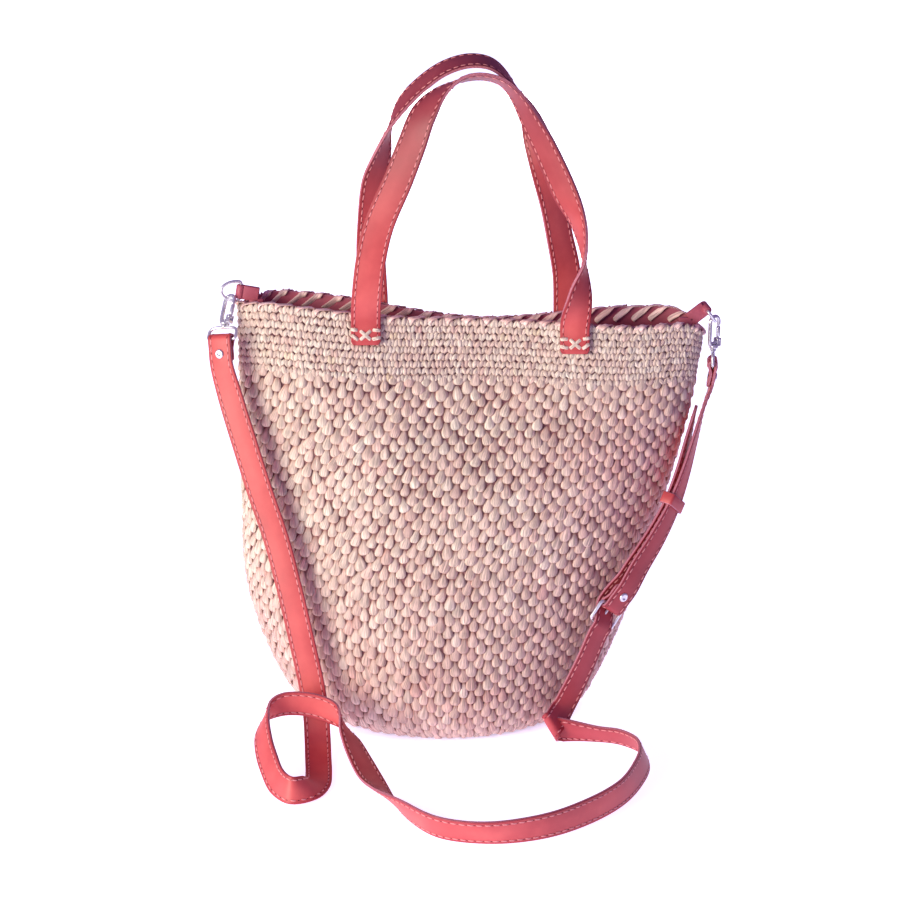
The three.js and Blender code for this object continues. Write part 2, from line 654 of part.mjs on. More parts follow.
// Frames of the short strap above the buckle, with their distance up from the heel bar
function shortRise() {
  const low = shortFrames.reduce((best, frame, i) => (frame.at.z < shortFrames[best].at.z ? i : best), 0);
  let up = (-Math.PI / 2) * WRAP_RADIUS;
  return shortFrames.slice(low).map((frame, i, list) => {
    up += i > 0 ? frame.at.distanceTo(list[i - 1].at) : 0;
    return { ...frame, up };
  });
}
const rise = shortRise();
function shortAt(up) {
  const i = Math.max(1, rise.findIndex((frame) => frame.up >= up));
  const share = (up - rise[i - 1].up) / (rise[i].up - rise[i - 1].up);
  const mix = (name) => rise[i - 1][name].clone().lerp(rise[i][name], share);
  const out = mix("out").normalize();
  out.multiplyScalar(Math.sign(out.dot(OUTSIDE)));
  return { at: mix("at"), across: mix("across").normalize(), along: mix("along").normalize(), out };
}
function freeEndRoute() {
  return FREE_END.map((row) => {
    const frame = shortAt(row.up);
    return { at: frame.at.addScaledVector(frame.out, -row.behind), across: frame.across };
  });
}

// Through the buckle: in front of the nose bar, then behind the heel bar and the fold on it
function buckleRoute() {
  return BUCKLE_RUN.map(({ up, out }) => ({
    at: BUCKLE_PLACE.at
      .clone()
      .addScaledVector(axisOf(buckle, 2), up)
      .addScaledVector(buckleWrap.face, out),
    across: axisOf(buckle, 0),
  }));
}
const longRoute = [
  ...leftWrap.route,
  ...leftRoute,
  ...foldRoute(FOLD),
  ...routeOf(RISE),
  ...buckleRoute(),
  ...freeEndRoute(),
];
const longFrames = strapFrames(longRoute, STRAP);

// Rivets through both plies of a folded end
function rivetPlace(wrap) {
  const at = wrap.bar
    .clone()
    .addScaledVector(wrap.run, RIVET.fromBar)
    .addScaledVector(wrap.face, WRAP_RADIUS - PLY_PITCH / 2);
  return place(at, wrap.side, wrap.face);
}
const RIVET_HALF = STRAP.thickness + 2 * CLEARANCE;
function rivetGeometry() {
  const { shank, head, shoulder, crown } = RIVET;
  const profile = [
    [0, -RIVET_HALF - RIVET.backHeight],
    [shoulder, -RIVET_HALF - RIVET.backHeight],
    [head, -RIVET_HALF],
    [shank, -RIVET_HALF],
    [shank, RIVET_HALF],
    [head, RIVET_HALF],
    [shoulder, RIVET_HALF + RIVET.shoulderHeight],
    [crown, RIVET_HALF + RIVET.domeHeight],
    [0, RIVET_HALF + RIVET.domeHeight],
  ];
  const points = profile.map(([radius, height]) => new THREE.Vector2(radius, height));
  return new THREE.LatheGeometry(points, ROUND_SIDES).rotateX(Math.PI / 2);
}
function rivetHole(wrap) {
  const reach = 2 * RIVET_HALF;
  return toSolid(rod(vec(0, 0, -reach), vec(0, 0, reach), RIVET.shank + CLEARANCE), rivetPlace(wrap));
}
function slot({ width, depth, length, middle }) {
  return toSolid(block(vec(width, depth, length), vec(0, 0, middle)), buckle);
}
function longStrapGeometry() {
  const strap = toSolid(strapGeometry(longFrames, STRAP.thickness));
  return toGeometry(strap.subtract(rivetHole(leftWrap)).subtract(slot(PRONG_SLOT)));
}
function shortStrapGeometry() {
  const strap = toSolid(strapGeometry(shortFrames, STRAP.thickness));
  const holes = rivetHole(rightWrap).add(rivetHole(buckleWrap));
  return toGeometry(strap.subtract(holes).subtract(slot(RING_SLOT)));
}
function buckleFrameGeometry() {
  const { halfWidth, length, corner } = BUCKLE;
  const outline = new THREE.Path();
  outline.moveTo(corner - halfWidth, 0);
  outline.lineTo(halfWidth - corner, 0);
  outline.absarc(halfWidth - corner, -corner, corner, Math.PI / 2, 0, true);
  outline.lineTo(halfWidth, corner - length);
  outline.absarc(halfWidth - corner, corner - length, corner, 0, -Math.PI / 2, true);
  outline.lineTo(corner - halfWidth, -length);
  outline.absarc(corner - halfWidth, corner - length, corner, -Math.PI / 2, -Math.PI, true);
  outline.lineTo(-halfWidth, -corner);
  outline.absarc(corner - halfWidth, -corner, corner, Math.PI, Math.PI / 2, true);
  return wire(flatPoints(outline, 3), vec(0, 1, 0), WIRE, WIRE, true, 7);
}
function prongGeometry(backwards) {
  const half = vec(PRONG.ringWidth / 2, 0, 0);
  const long = vec(PRONG.ringWidth, 0, 0);
  const behind = backwards * (WIRE + CLEARANCE + PRONG.radius + PRONG.slack);
  const ring = rod(half.clone().negate(), half, PRONG.ring);
  const bore = rod(long.clone().negate(), long, WIRE + CLEARANCE);
  const root = vec(0, behind / 2, -PRONG.rootDrop);
  const bar = rod(root, vec(0, behind, -BUCKLE.length - PRONG.beyond), PRONG.radius);
  return toGeometry(toSolid(ring).add(toSolid(bar)).subtract(toSolid(bore)));
}
function keeperPlace() {
  const frame = shortAt(KEEPER.up);
  return place(frame.at.addScaledVector(frame.out, -KEEPER.behind / 2), frame.across, frame.along);
}
function keeperGeometry() {
  const halfWidth = STRAP.width / 2 + KEEPER.slack;
  const halfDepth = (STRAP.thickness + KEEPER.behind) / 2 + KEEPER.slack;
  const rect = (grow) => {
    const shape = new THREE.Shape();
    shape.moveTo(-halfWidth - grow, -halfDepth - grow);
    shape.lineTo(halfWidth + grow, -halfDepth - grow);
    shape.lineTo(halfWidth + grow, halfDepth + grow);
    shape.lineTo(-halfWidth - grow, halfDepth + grow);
    shape.closePath();
    return shape;
  };
  const loop = rect(KEEPER.thickness);
  loop.holes.push(rect(0));
  const solid = new THREE.ExtrudeGeometry(loop, { depth: KEEPER.length, bevelEnabled: false });
  return solid.translate(0, 0, -KEEPER.length / 2);
}

// The bag
const bag = new THREE.Group();
function add(name, geometry, material, parent = bag) {
  const mesh = new THREE.Mesh(geometry, material);
  mesh.name = name;
  parent.add(mesh);
}
function addAt(matrix, pieces) {
  const group = groupAt(matrix);
  bag.add(group);
  pieces.forEach(([name, geometry, material]) => add(name, geometry, material, group));
}
add("raffia_body", pouchGeometry(), raffia());
add("rim_binding", bindingGeometry(), bindingLeather());
add("handle_front", handleGeometry(FRONT_HANDLE), leather());
add("handle_back", handleGeometry(BACK_HANDLE), leather());
for (const name of ["left", "right"]) {
  add(`ring_tab_${name}`, tabGeometry(SIDES[name]), leather());
  addAt(hang[name].ring, [[`d_ring_${name}`, ringGeometry(), nickel()]]);
  addAt(hang[name].hook, [
    [`hook_body_${name}`, hookGeometry(), nickel()],
    [`hook_gate_${name}`, gateGeometry(), nickel()],
  ]);
  addAt(hang[name].eye, [[`hook_eye_${name}`, eyeGeometry(), nickel()]]);
}
add("strap_long", longStrapGeometry(), leather());
add("strap_short", shortStrapGeometry(), leather());
addAt(rivetPlace(leftWrap), [["rivet_left", rivetGeometry(), nickel()]]);
addAt(rivetPlace(rightWrap), [["rivet_right", rivetGeometry(), nickel()]]);
addAt(rivetPlace(buckleWrap), [["rivet_buckle", rivetGeometry(), nickel()]]);
const prongSide = -Math.sign(axisOf(buckle, 1).dot(buckleWrap.face));
addAt(buckle, [
  ["buckle_frame", buckleFrameGeometry(), nickel()],
  ["buckle_prong", prongGeometry(prongSide), nickel()],
]);
addAt(keeperPlace(), [["strap_keeper", keeperGeometry(), leather()]]);

export default bag;
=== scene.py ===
import math
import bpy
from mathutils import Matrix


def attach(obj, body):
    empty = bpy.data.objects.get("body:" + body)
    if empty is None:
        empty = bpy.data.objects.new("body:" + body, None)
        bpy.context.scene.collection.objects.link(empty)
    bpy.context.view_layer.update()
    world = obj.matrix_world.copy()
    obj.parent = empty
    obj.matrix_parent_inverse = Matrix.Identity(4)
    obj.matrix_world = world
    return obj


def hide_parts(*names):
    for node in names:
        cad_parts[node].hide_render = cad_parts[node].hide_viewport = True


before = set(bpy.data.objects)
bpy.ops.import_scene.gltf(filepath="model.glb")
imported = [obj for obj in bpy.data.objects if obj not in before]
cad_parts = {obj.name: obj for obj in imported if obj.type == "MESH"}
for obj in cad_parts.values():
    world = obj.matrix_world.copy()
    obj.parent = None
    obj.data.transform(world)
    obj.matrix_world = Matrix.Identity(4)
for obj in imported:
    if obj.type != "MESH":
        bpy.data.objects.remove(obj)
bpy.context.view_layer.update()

from types import SimpleNamespace as Named

import bmesh
import bpy
import numpy as np
from mathutils import Matrix

# A raffia tote bag. Sizes are millimetres, turned into metres as each mesh is made.
MM = 0.001
rng = np.random.default_rng(5)

# Pouch
BAG_HEIGHT = 345
BASE_THICKNESS = 5
BASE_MIDDLE = np.array([-1.0, 0, 0])
FLOOR_GAP = 0.4
PINCH = Named(x=30, reach=95, depth=0.64, start=190)
BINDING = Named(height=24, thickness=2, above=0.6, gap=0.6, bevel=0.6, columns=400)
SHELL = Named(inset=2.9, fine_inset=2.0, low=2.4, rings=26, inner_rings=90, inner_low=12, inner_row=6.1,
              bumps=0.9, lift=0.4, base_rings=20, base_bumps=0.7)

# Crochet: stitches round the bag, how far they climb from row to row, and how much they vary
PUFF = Named(columns=118, rise=12.2, inset=2.5, around=10, first=5, spare=2, over=0.3,
             strands=(-0.09, 0.06, 0.1))
PUFF_VARY = Named(u=0.05, climb=0.55, out=0.22, tone=(0.45, 0.15), tilt=0.13, grow=0.06)
FINE = Named(columns=132, rows=9, depth=51, inset=1.6, around=6, lean=0.3)
FINE_VARY = Named(u=0.04, climb=0.25, out=0.2, tone=(0.56, 0.18), tilt=0.15, grow=0.08)
ROUNDS = Named(count=13, first=0.6, spread=13.4, pitch=7.2, level=2.2, width=13, height=7.6,
               tone=(0.45, 0.2), tilt=(0.25, 0.08))
WHIPPING = Named(spacing=16, lean=13, half_width=3.2, half_thickness=0.6, steps=28, vary=0.06,
                 tone=(0.5, 0.8))
STRAND_SIDES = 10
STITCH_UV_SPREAD = 40
STRAND_UV_SPREAD = 30

# Leather
HANDLE = Named(width=25, thickness=3, end_drop=23, stand_off=0.5, corner=2, seam_from=3.5)
STRAP = Named(width=22, thickness=2.6, step=11, wrap_gap=0.6, corner=4, tip=10.9)
TAB = Named(width=12, plies=5, reach=16, eye=3.7, patch_width=12, patch_height=24, bevel=0.8)
KEEPER = Named(length=10, thickness=1.6, slack=0.8, up=103, behind=4.2, corner=1.4)
SEAM = Named(from_edge=2.9, pitch=6.4, length=4.9, width=0.62, height=0.45, sunk=0.22, hole=2.1, around=6,
             tone=(0.3, 0.7), tilt=(0.08, 0.05))
FOOT_STRAND = Named(half_width=1.55, half_thickness=0.7, steps=13, sunk=1.2, arch=2.0, tone=(0.4, 0.7))
CLEARANCE = 0.35
FLAP_LENGTH = 20
FINE_STEP = 3
PLY_GROOVE = 0.4

# Metal
RIVET = Named(from_bar=12, shank=1.5, head=4, dome=1.3, back=0.65)
WIRE = 1.4
WIRE_SIDES = 14
RING = Named(half_bar=8.6, depth=17, corner=2.6, wire=1.3)
HOOK = Named(bend=5.2, bend_height=22.5, nose=2.5, wire=1.6, flat=1.8, spine_rise=8.6, base=3.6,
             base_radius=4, ring_lift=1.2)
EAR = Named(width=4.4, thickness=1, bevel=0.4, pin=1.2)
SEAT = Named(width=5.2, height=2.4, bevel=0.5)
GATE = Named(pivot=7, wire=1.2, barrel=1.8, pin=0.8, length=2.6, tip_gap=0.5, sleeve=1.75, sleeve_rise=2.4)
EYE = Named(post=1.5, head=2.6, head_height=1.4, collar=1.6, play=0.45, drop=12.8, half_top=5, half_bar=13.4,
            shoulder=5.4, corner=2.6)
BUCKLE = Named(half_width=13.6, length=18, corner=3)
PRONG = Named(radius=1.1, ring=3, ring_width=3.2, beyond=2.6, root_drop=1.6, slack=0.1)


def columns(names, rows):
    data = np.array(rows, float)
    return {name: data[:, i] for i, name in enumerate(names)}


SECTIONS = columns(
    ("height", "left", "right", "front", "back", "wall", "roundness"),
    [
        [0, -100, 98, 86, 86, 14, 2], [4, -115, 111, 98, 98, 13, 2], [12, -131, 123, 105, 105, 10, 2],
        [26, -143, 132, 109, 109, 7.5, 2], [48, -154, 143, 107, 107, 6.2, 2],
        [75, -165, 154, 102, 101, 5.5, 2], [105, -173, 164, 95, 94, 5.5, 2.05],
        [140, -177, 174, 86, 84, 5.5, 2.1], [180, -177, 186, 75, 73, 5.5, 2.15],
        [225, -177, 199, 62, 60, 5.5, 2.2], [270, -177, 209, 49, 48, 5.2, 2.25],
        [310, -177, 215, 38, 38, 4.2, 2.3], [345, -177, 219, 31, 31, 4, 2.35],
    ],
)
RIM = columns(
    ("x", "front", "back"),
    [
        [-177, 356, 357], [-150, 358, 365], [-115, 356, 362], [-40, 348, 350], [25, 345, 343],
        [95, 343, 345], [160, 339, 351], [203, 337, 350], [219, 332, 333],
    ],
)

# Middle lines of the leather: x, y, z and the direction across
FRONT_HANDLE = Named(
    side=-1,
    feet=(-67, 108),
    rows=[
        [-66, -31, 368, 1, 0, 0], [-62, -31, 401, 0.97, -0.08, -0.1], [-55, -29, 430, 0.93, -0.15, -0.25],
        [-39, -26, 467, 0.85, -0.3, -0.4], [-28, -23, 495, 0.8, -0.4, -0.35],
        [-18, -20, 520, 0.7, -0.6, -0.3], [-4, -17, 537, 0.4, -0.9, 0], [13, -15, 547, 0.1, -0.95, 0.24],
        [29, -14.5, 549.5, 0, -0.95, 0.28], [46, -14.5, 545, 0.1, -0.95, 0.28],
        [58, -15, 533, 0.3, -0.9, 0.3], [69, -16, 514, 0.5, -0.78, 0.36], [80, -17, 494, 0.62, -0.66, 0.4],
        [98, -19, 455, 0.7, -0.58, 0.4], [110, -21, 428, 0.42, -0.88, 0.2],
        [114.5, -24, 398, -0.05, -0.97, 0.2], [111.5, -27, 371, -0.78, -0.6, 0],
    ],
)
BACK_HANDLE = Named(
    side=1,
    feet=(-62, 104),
    rows=[
        [-63, 31, 368, 1, 0.05, 0], [-64, 29, 392, 0.98, 0.15, 0], [-63, 27, 419, 0.95, 0.28, 0],
        [-60, 23, 457, 0.82, 0.55, -0.1], [-54, 20, 479, 0.55, 0.82, -0.12],
        [-48, 17, 501, 0.05, 0.98, -0.15], [-37, 14.5, 522, -0.25, 0.94, 0.15],
        [-21, 13, 539, -0.2, 0.93, 0.3], [-1, 12.5, 553, -0.1, 0.94, 0.32], [20, 12.5, 559, 0, 0.95, 0.3],
        [38, 12.5, 556, 0.05, 0.96, 0.22], [54, 12.5, 541, -0.05, 0.99, 0.1],
        [68, 13.5, 518, -0.5, 0.84, -0.1], [79, 16, 484, -0.92, 0.25, -0.3],
        [89, 20, 445, -0.88, -0.4, -0.25], [96, 24, 411, -0.86, -0.48, -0.2],
        [103, 29, 376, -0.94, -0.28, -0.1],
    ],
)
LEFT_RUN = [
    [-181, -36, 286, -0.95, 0.25, -0.2], [-169, -48, 249, -0.96, 0.15, -0.25],
    [-156, -60, 210, -0.95, 0.1, -0.3], [-142, -72, 171, -0.95, 0.1, -0.3],
    [-131, -85, 132, -0.96, 0.1, -0.26], [-121, -96, 91, -0.97, 0.1, -0.22],
    [-112, -105, 50, -0.98, 0.08, -0.2], [-109, -110, 29, -0.99, 0.04, -0.1],
    [-107.5, -120, 12, -1, 0, -0.03], [-106, -140, 3.8, -1, 0, 0], [-104, -170, 2.6, -0.99, 0, 0.05],
    [-104, -193, 5.1, -0.93, 0.1, 0.33], [-110, -214, 9.7, -0.55, 0.35, 0.75],
    [-123, -222, 11.4, 0, 0.38, 0.92], [-135, -207, 12, 0.32, 0.28, 0.9], [-143, -186, 18, 0.5, 0.12, 0.85],
    [-149, -164, 25.4, 0.55, 0, 0.83], [-151, -146, 33.6, 0.5, -0.12, 0.85],
    [-147, -133, 41, 0.3, -0.2, 0.93], [-137, -126, 44.5, 0.1, -0.15, 0.98],
    [-124, -123, 44.5, 0, -0.12, 0.99], [-108, -124, 42.5, 0.05, -0.08, 0.99],
    [-94, -129, 38.4, 0, -0.1, 0.99], [-86, -137, 34, -0.3, -0.25, 0.9], [-79, -152, 27, -0.72, -0.4, 0.55],
    [-70.5, -173, 18.4, -0.85, -0.42, 0.3], [-61, -194, 10.5, -0.86, -0.45, 0.22],
    [-48, -226, 9, -0.7, -0.38, 0.6], [-32, -258, 11.4, -0.3, -0.3, 0.9],
    [-5, -289, 11.5, -0.08, -0.32, 0.95], [32, -298, 11.4, -0.04, -0.3, 0.95],
    [74, -287, 11.3, 0.05, -0.1, 0.99], [108, -263, 11.4, 0.02, 0.05, 1],
    [138, -228, 11.4, -0.1, 0.02, 0.99], [155, -190, 11.3, -0.3, -0.08, 0.95],
    [163, -156, 11, -0.38, -0.2, 0.9], [160, -131, 10.7, -0.3, -0.45, 0.84],
    [146, -114, 10.4, -0.1, -0.55, 0.83], [126, -107, 10.4, -0.05, -0.52, 0.85],
]
FOLD = Named(at=(92, -101, 12.5), axis=(-0.5, 0.1, 0.86), arriving=(-0.93, -0.28, 0.02), radius=4.6,
             turn=math.radians(150), steps=7)
RISE = [
    [99, -91, 27, -0.72, -0.3, 0.55], [108, -88.5, 45, -0.68, -0.4, 0.55],
    [118, -86, 67, -0.65, -0.47, 0.58],
]
SHORT_RUN = [
    [163, -66, 144, -0.62, -0.52, 0.57], [179, -55.5, 168, -0.57, -0.62, 0.53],
    [193, -44, 193, -0.48, -0.75, 0.45], [203, -32, 217, -0.38, -0.85, 0.34],
    [211, -20, 241, -0.28, -0.92, 0.24], [218.5, -8, 264, -0.18, -0.97, 0.12],
]
BUCKLE_PLACE = Named(at=(140, -73, 112), up=(0.55, 0.235, 0.8), across=(-0.642, -0.494, 0.588))
BUCKLE_RUN = columns(("up", "out"), [[-24, 3.9], [-18, 3.8], [-10, -1.8], [-3, -7], [4, -7.6], [14, -6.4]])
FREE_END = columns(
    ("up", "behind"),
    [[26, 7.8], [38, 6.2], [54, 4.9], [78, 4.3], [103, 4.2], [128, 4.8], [160, 5.8], [190, 6.6]],
)
SIDES = {
    "left": Named(
        bar=(-173.5, 0, 367.3), tab_out=(-0.985, 0, 0.17), bar_axis=(0.17, 0, 0.985),
        ring_out=(-0.893, -0.423, 0.154), hang=(8, 0, -7.97), patch=(-160, 0, 349),
        hook_up=(0.16, 0.6, 0.78), hook_across=(0.66, -0.72, 0), eye_across=(-0.86, 0.505, -0.05),
    ),
    "right": Named(
        bar=(219, 0, 353.2), tab_out=(0.78, 0, 0.62), bar_axis=(0.3, -0.9, -0.3),
        ring_out=(0.52, 0.42, -0.75), hang=(16.9, 0, 1), patch=(203, 0, 333),
        hook_up=(0.02, 0, 1), hook_across=(0.75, 0.66, 0), eye_across=(-0.1, -0.99, 0),
    ),
}


# Small helpers
def vec(*parts):
    return np.array(parts, float)


def unit(a):
    a = np.asarray(a, float)
    return a / np.linalg.norm(a, axis=-1, keepdims=True)


def along_lengths(points):
    return np.concatenate([[0.0], np.cumsum(np.linalg.norm(np.diff(points, axis=0), axis=1))])


def place(at, across, up):
    z = unit(up)
    x = unit(np.asarray(across, float) - z * np.dot(across, z))
    matrix = np.eye(4)
    matrix[:3, 0], matrix[:3, 1], matrix[:3, 2], matrix[:3, 3] = x, np.cross(z, x), z, at
    return matrix


def moved(matrix, points):
    return np.asarray(points, float) @ matrix[:3, :3].T + matrix[:3, 3]


# Points, faces and per-point values gathered for one piece
class Shape:
    def __init__(self):
        self.points, self.faces, self.kinds, self.tones, self.depths, self.maps = [], [], [], [], [], []
        self.count = 0

    def add(self, points, faces, kind=0, tone=0.5, depth=1.0, uv=None):
        size = len(points)
        for face in faces:
            self.faces.append(np.asarray(face, int) + self.count)
            self.kinds.append(np.resize(kind, len(face)))
        self.points.append(points)
        self.tones.append(np.broadcast_to(tone, size))
        self.depths.append(np.broadcast_to(depth, size))
        self.maps.append(np.zeros((size, 2)) if uv is None else uv)
        self.count += size


def fill(data, key, parts, kind=np.float32):
    data.foreach_set(key, np.concatenate(parts).ravel().astype(kind))


def show(name, data):
    obj = bpy.data.objects.new(name, data)
    bpy.context.scene.collection.objects.link(obj)
    return obj


def build(name, shape, looks, slot, *nodes, body="bag"):
    loops = np.concatenate([face.ravel() for face in shape.faces])
    sizes = np.concatenate([np.full(len(face), face.shape[1]) for face in shape.faces])
    mesh = bpy.data.meshes.new(name)
    mesh.vertices.add(shape.count)
    fill(mesh.vertices, "co", [points * MM for points in shape.points])
    mesh.loops.add(len(loops))
    fill(mesh.loops, "vertex_index", [loops], np.int32)
    mesh.polygons.add(len(sizes))
    fill(mesh.polygons, "loop_start", [[0], np.cumsum(sizes)[:-1]], np.int32)
    fill(mesh.polygons, "material_index", shape.kinds, np.int32)
    fill(mesh.polygons, "use_smooth", [np.ones(len(sizes))], bool)
    mesh.update(calc_edges=True)
    fill(mesh.attributes.new("tone", "FLOAT", "POINT").data, "value", shape.tones)
    fill(mesh.attributes.new("depth", "FLOAT", "POINT").data, "value", shape.depths)
    fill(mesh.uv_layers.new(name="fibre").data, "uv", [np.concatenate(shape.maps)[loops]])
    mesh.validate()
    for look in looks:
        mesh.materials.append(look)
    obj = show(name, mesh)
    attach(obj, body)
    if nodes:
        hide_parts(*nodes)


# Faces between rings of points laid out as an array of rows and columns
def net(rows, cols, closed_rows=False):
    row = np.arange(rows if closed_rows else rows - 1)[:, None]
    col = np.arange(cols)[None, :]
    after_row, after_col = (row + 1) % rows, (col + 1) % cols
    corners = (row * cols + col, row * cols + after_col, after_row * cols + after_col, after_row * cols + col)
    return np.stack(np.broadcast_arrays(*corners), -1).reshape(-1, 4)


def end_faces(rows, cols):
    return np.stack([np.arange(cols)[::-1], np.arange(cols) + (rows - 1) * cols])


# One kind for every face, or one for each column or face
def loft(shape, rings, closed=False, capped=True, kind=0, cap_kind=0, **values):
    rings = np.asarray(rings, float)
    rows, cols = rings.shape[:2]
    start = shape.count
    shape.add(rings.reshape(-1, 3), [net(rows, cols, closed)], kind, **values)
    if capped and not closed:
        shape.faces.append(end_faces(rows, cols) + start)
        shape.kinds.append(np.resize(cap_kind, 2))


# A wire or strand along points: the normal gives the direction of its thickness
def sweep(shape, points, normals, wide, thick, sides=12, closed=False, rounded=True, **values):
    points = np.asarray(points, float)
    normals = np.broadcast_to(np.asarray(normals, float), points.shape)
    if closed:
        along = unit(np.roll(points, -1, 0) - np.roll(points, 1, 0))
    else:
        along = unit(np.gradient(points, axis=0))
    side = unit(np.cross(normals, along))
    normal = np.cross(along, side)
    turn = 2 * np.pi * (np.arange(sides) + 0.5) / sides
    wide = np.broadcast_to(wide, len(points))
    thick = np.broadcast_to(thick, len(points))

    def ring(i, share, shift):
        reach = np.outer(np.cos(turn), side[i]) * wide[i] + np.outer(np.sin(turn), normal[i]) * thick[i]
        return points[i] + along[i] * shift + reach * share

    rings = [ring(i, 1, 0) for i in range(len(points))]
    if not closed and rounded:
        last = len(points) - 1
        for share, shift in ((0.87, 0.5), (0.5, 0.87)):
            rings.insert(0, ring(0, share, -shift * thick[0]))
            rings.append(ring(last, share, shift * thick[last]))
    loft(shape, rings, closed, **values)


def lathe(shape, matrix, profile, steps=28, **values):
    turn = 2 * np.pi * np.arange(steps) / steps
    rings = [np.stack([r * np.cos(turn), r * np.sin(turn), np.full(steps, z)], -1) for r, z in profile]
    loft(shape, moved(matrix, rings), **values)


def rounded_block(shape, matrix, size, radius):
    bm = bmesh.new()
    bmesh.ops.create_cube(bm, size=1)
    bmesh.ops.scale(bm, vec=size, verts=bm.verts)
    bmesh.ops.bevel(bm, geom=bm.edges, offset=radius, segments=3, profile=0.5, affect="EDGES")
    bm.verts.index_update()
    points = moved(matrix, [list(v.co) for v in bm.verts])
    faces = [[v.index for v in f.verts] for f in bm.faces]
    bm.free()
    groups = [[f for f in faces if len(f) == n] for n in (3, 4)]
    shape.add(points, [g for g in groups if g])


# Copies of a small form: its x and y are shares of the place's across and up, its z is millimetres outward
def stamp(shape, form, at, across, up, out, tone, tilt, grow=1.0, kind=0):
    points, faces, depth, uv = form
    count, size = len(at), len(points)
    cos, sin = np.cos(tilt)[:, None], np.sin(tilt)[:, None]
    wide, tall = np.linalg.norm(across, axis=1)[:, None], np.linalg.norm(up, axis=1)[:, None]
    across, up = across * cos + up / tall * wide * sin, up * cos - across / wide * tall * sin
    x, y, z = (points[None, :, a : a + 1] for a in range(3))
    local = (x * across[:, None] + y * up[:, None]) * np.reshape(grow, (-1, 1, 1))
    copies = at[:, None] + local + z * out[:, None]
    step = size * np.arange(count)[:, None, None]
    faces = [(face[None] + step).reshape(-1, face.shape[1]) for face in faces]
    uv = (uv[None] + rng.uniform(0, STITCH_UV_SPREAD, (count, 1, 2))).reshape(-1, 2)
    shape.add(copies.reshape(-1, 3), faces, kind, np.repeat(tone, size), np.tile(depth, count), uv)


# A drop-like form from rows of: height, half width, half thickness and how far out its middle is
def drop(rows, around, strands=0.0):
    turn = 2 * np.pi * np.arange(around) / around + np.pi / 2
    ridge = 1 + strands * (-1) ** np.arange(around)
    points = np.concatenate([
        np.stack([w * np.cos(turn) * ridge, np.full(around, y), middle + t * np.sin(turn) * ridge], -1)
        for y, w, t, middle in rows
    ])
    count = len(rows)
    share = np.repeat(np.linspace(0, 1, count), around)
    uv = np.stack([np.tile(np.abs(turn - 1.5 * np.pi) / np.pi, count), share], -1)
    out = points[:, 2]
    depth = (out - out.min()) / (out.max() - out.min())
    return points, [net(count, around), end_faces(count, around)], depth, uv


# Fibre direction of a strand, by the share of its length at each ring
def strand_uv(share, sides=STRAND_SIDES):
    return np.stack([np.tile(np.linspace(0, 1, sides), len(share)), np.repeat(share, sides)], -1)


# Surface of the pouch
def smooth_through(knots, values, at):
    at = np.clip(at, knots[0], knots[-1])
    i = np.clip(np.searchsorted(knots, at, side="right"), 1, len(knots) - 1)
    before = np.where(i > 1, i - 2, i)
    after = np.where(i < len(knots) - 1, i + 1, i - 1)
    start, end = knots[i - 1], knots[i]
    half = (end - start) / 2
    a = half / (start - knots[before])
    b = half / (knots[after] - end)
    p = (at - start) / (end - start)
    p2, p3 = p**2, p**3
    return (
        values[before] * (-a * p3 + 2 * a * p2 - a * p)
        + values[i - 1] * ((1 + a) * p3 + (-1.5 - 2 * a) * p2 + (a - 0.5) * p + 1)
        + values[i] * ((-1 - b) * p3 + (1.5 + b) * p2 + 0.5 * p)
        + values[after] * (b * p3 - b * p2)
    )


def section(name, height):
    return smooth_through(SECTIONS["height"], SECTIONS[name], height)


def smoothstep(at, low, high):
    t = np.clip((at - low) / (high - low), 0, 1)
    return t * t * (3 - 2 * t)


def pinch(height, x):
    closing = smoothstep(height, PINCH.start, BAG_HEIGHT)
    return PINCH.depth * closing * np.exp(-(((x - PINCH.x) / PINCH.reach) ** 2))


def rim_lift(x, side):
    front = smooth_through(RIM["x"], RIM["front"], x)
    back = smooth_through(RIM["x"], RIM["back"], x)
    return front + (back - front) * (side + 1) / 2 - BAG_HEIGHT


def wall(height, angle, inset=0.0):
    height, angle, inset = np.broadcast_arrays(*(np.asarray(a, float) for a in (height, angle, inset)))
    left, right, front, back, roundness = (
        section(name, height) for name in ("left", "right", "front", "back", "roundness")
    )
    cos, sin = np.cos(angle), np.sin(angle)
    power = 2 / roundness
    x = (left + right) / 2 + ((right - left) / 2 - inset) * np.sign(cos) * np.abs(cos) ** power
    deep = np.where(sin > 0, back, front) * (1 - pinch(height, x))
    y = (deep - inset) * np.sign(sin) * np.abs(sin) ** power
    return np.stack([x, y, height + rim_lift(x, sin) * (height / BAG_HEIGHT) ** 3], -1)


# The same surface by the share of the way round, from the left end along the front, at even steps of length
LEVELS = 40
TURNS = 720


def angle_table():
    fine = np.linspace(0, 2 * np.pi, 4 * TURNS + 1)
    ring = wall(np.linspace(0, BAG_HEIGHT, LEVELS)[:, None], np.pi + fine[None])
    even = np.linspace(0, 1, TURNS + 1)
    lengths = [along_lengths(points) for points in ring]
    return np.stack([np.interp(even, length / length[-1], fine) for length in lengths])


ANGLES = angle_table()


def skin(u, height, inset=0.0):
    u, height = np.broadcast_arrays(np.asarray(u, float) % 1, np.asarray(height, float))
    level = np.clip(height / BAG_HEIGHT, 0, 1) * (LEVELS - 1)
    row = np.minimum(level.astype(int), LEVELS - 2)
    step = np.minimum((u * TURNS).astype(int), TURNS - 1)
    down, over = level - row, u * TURNS - step
    low = ANGLES[row, step] * (1 - over) + ANGLES[row, step + 1] * over
    high = ANGLES[row + 1, step] * (1 - over) + ANGLES[row + 1, step + 1] * over
    return wall(height, np.pi + low * (1 - down) + high * down, inset)


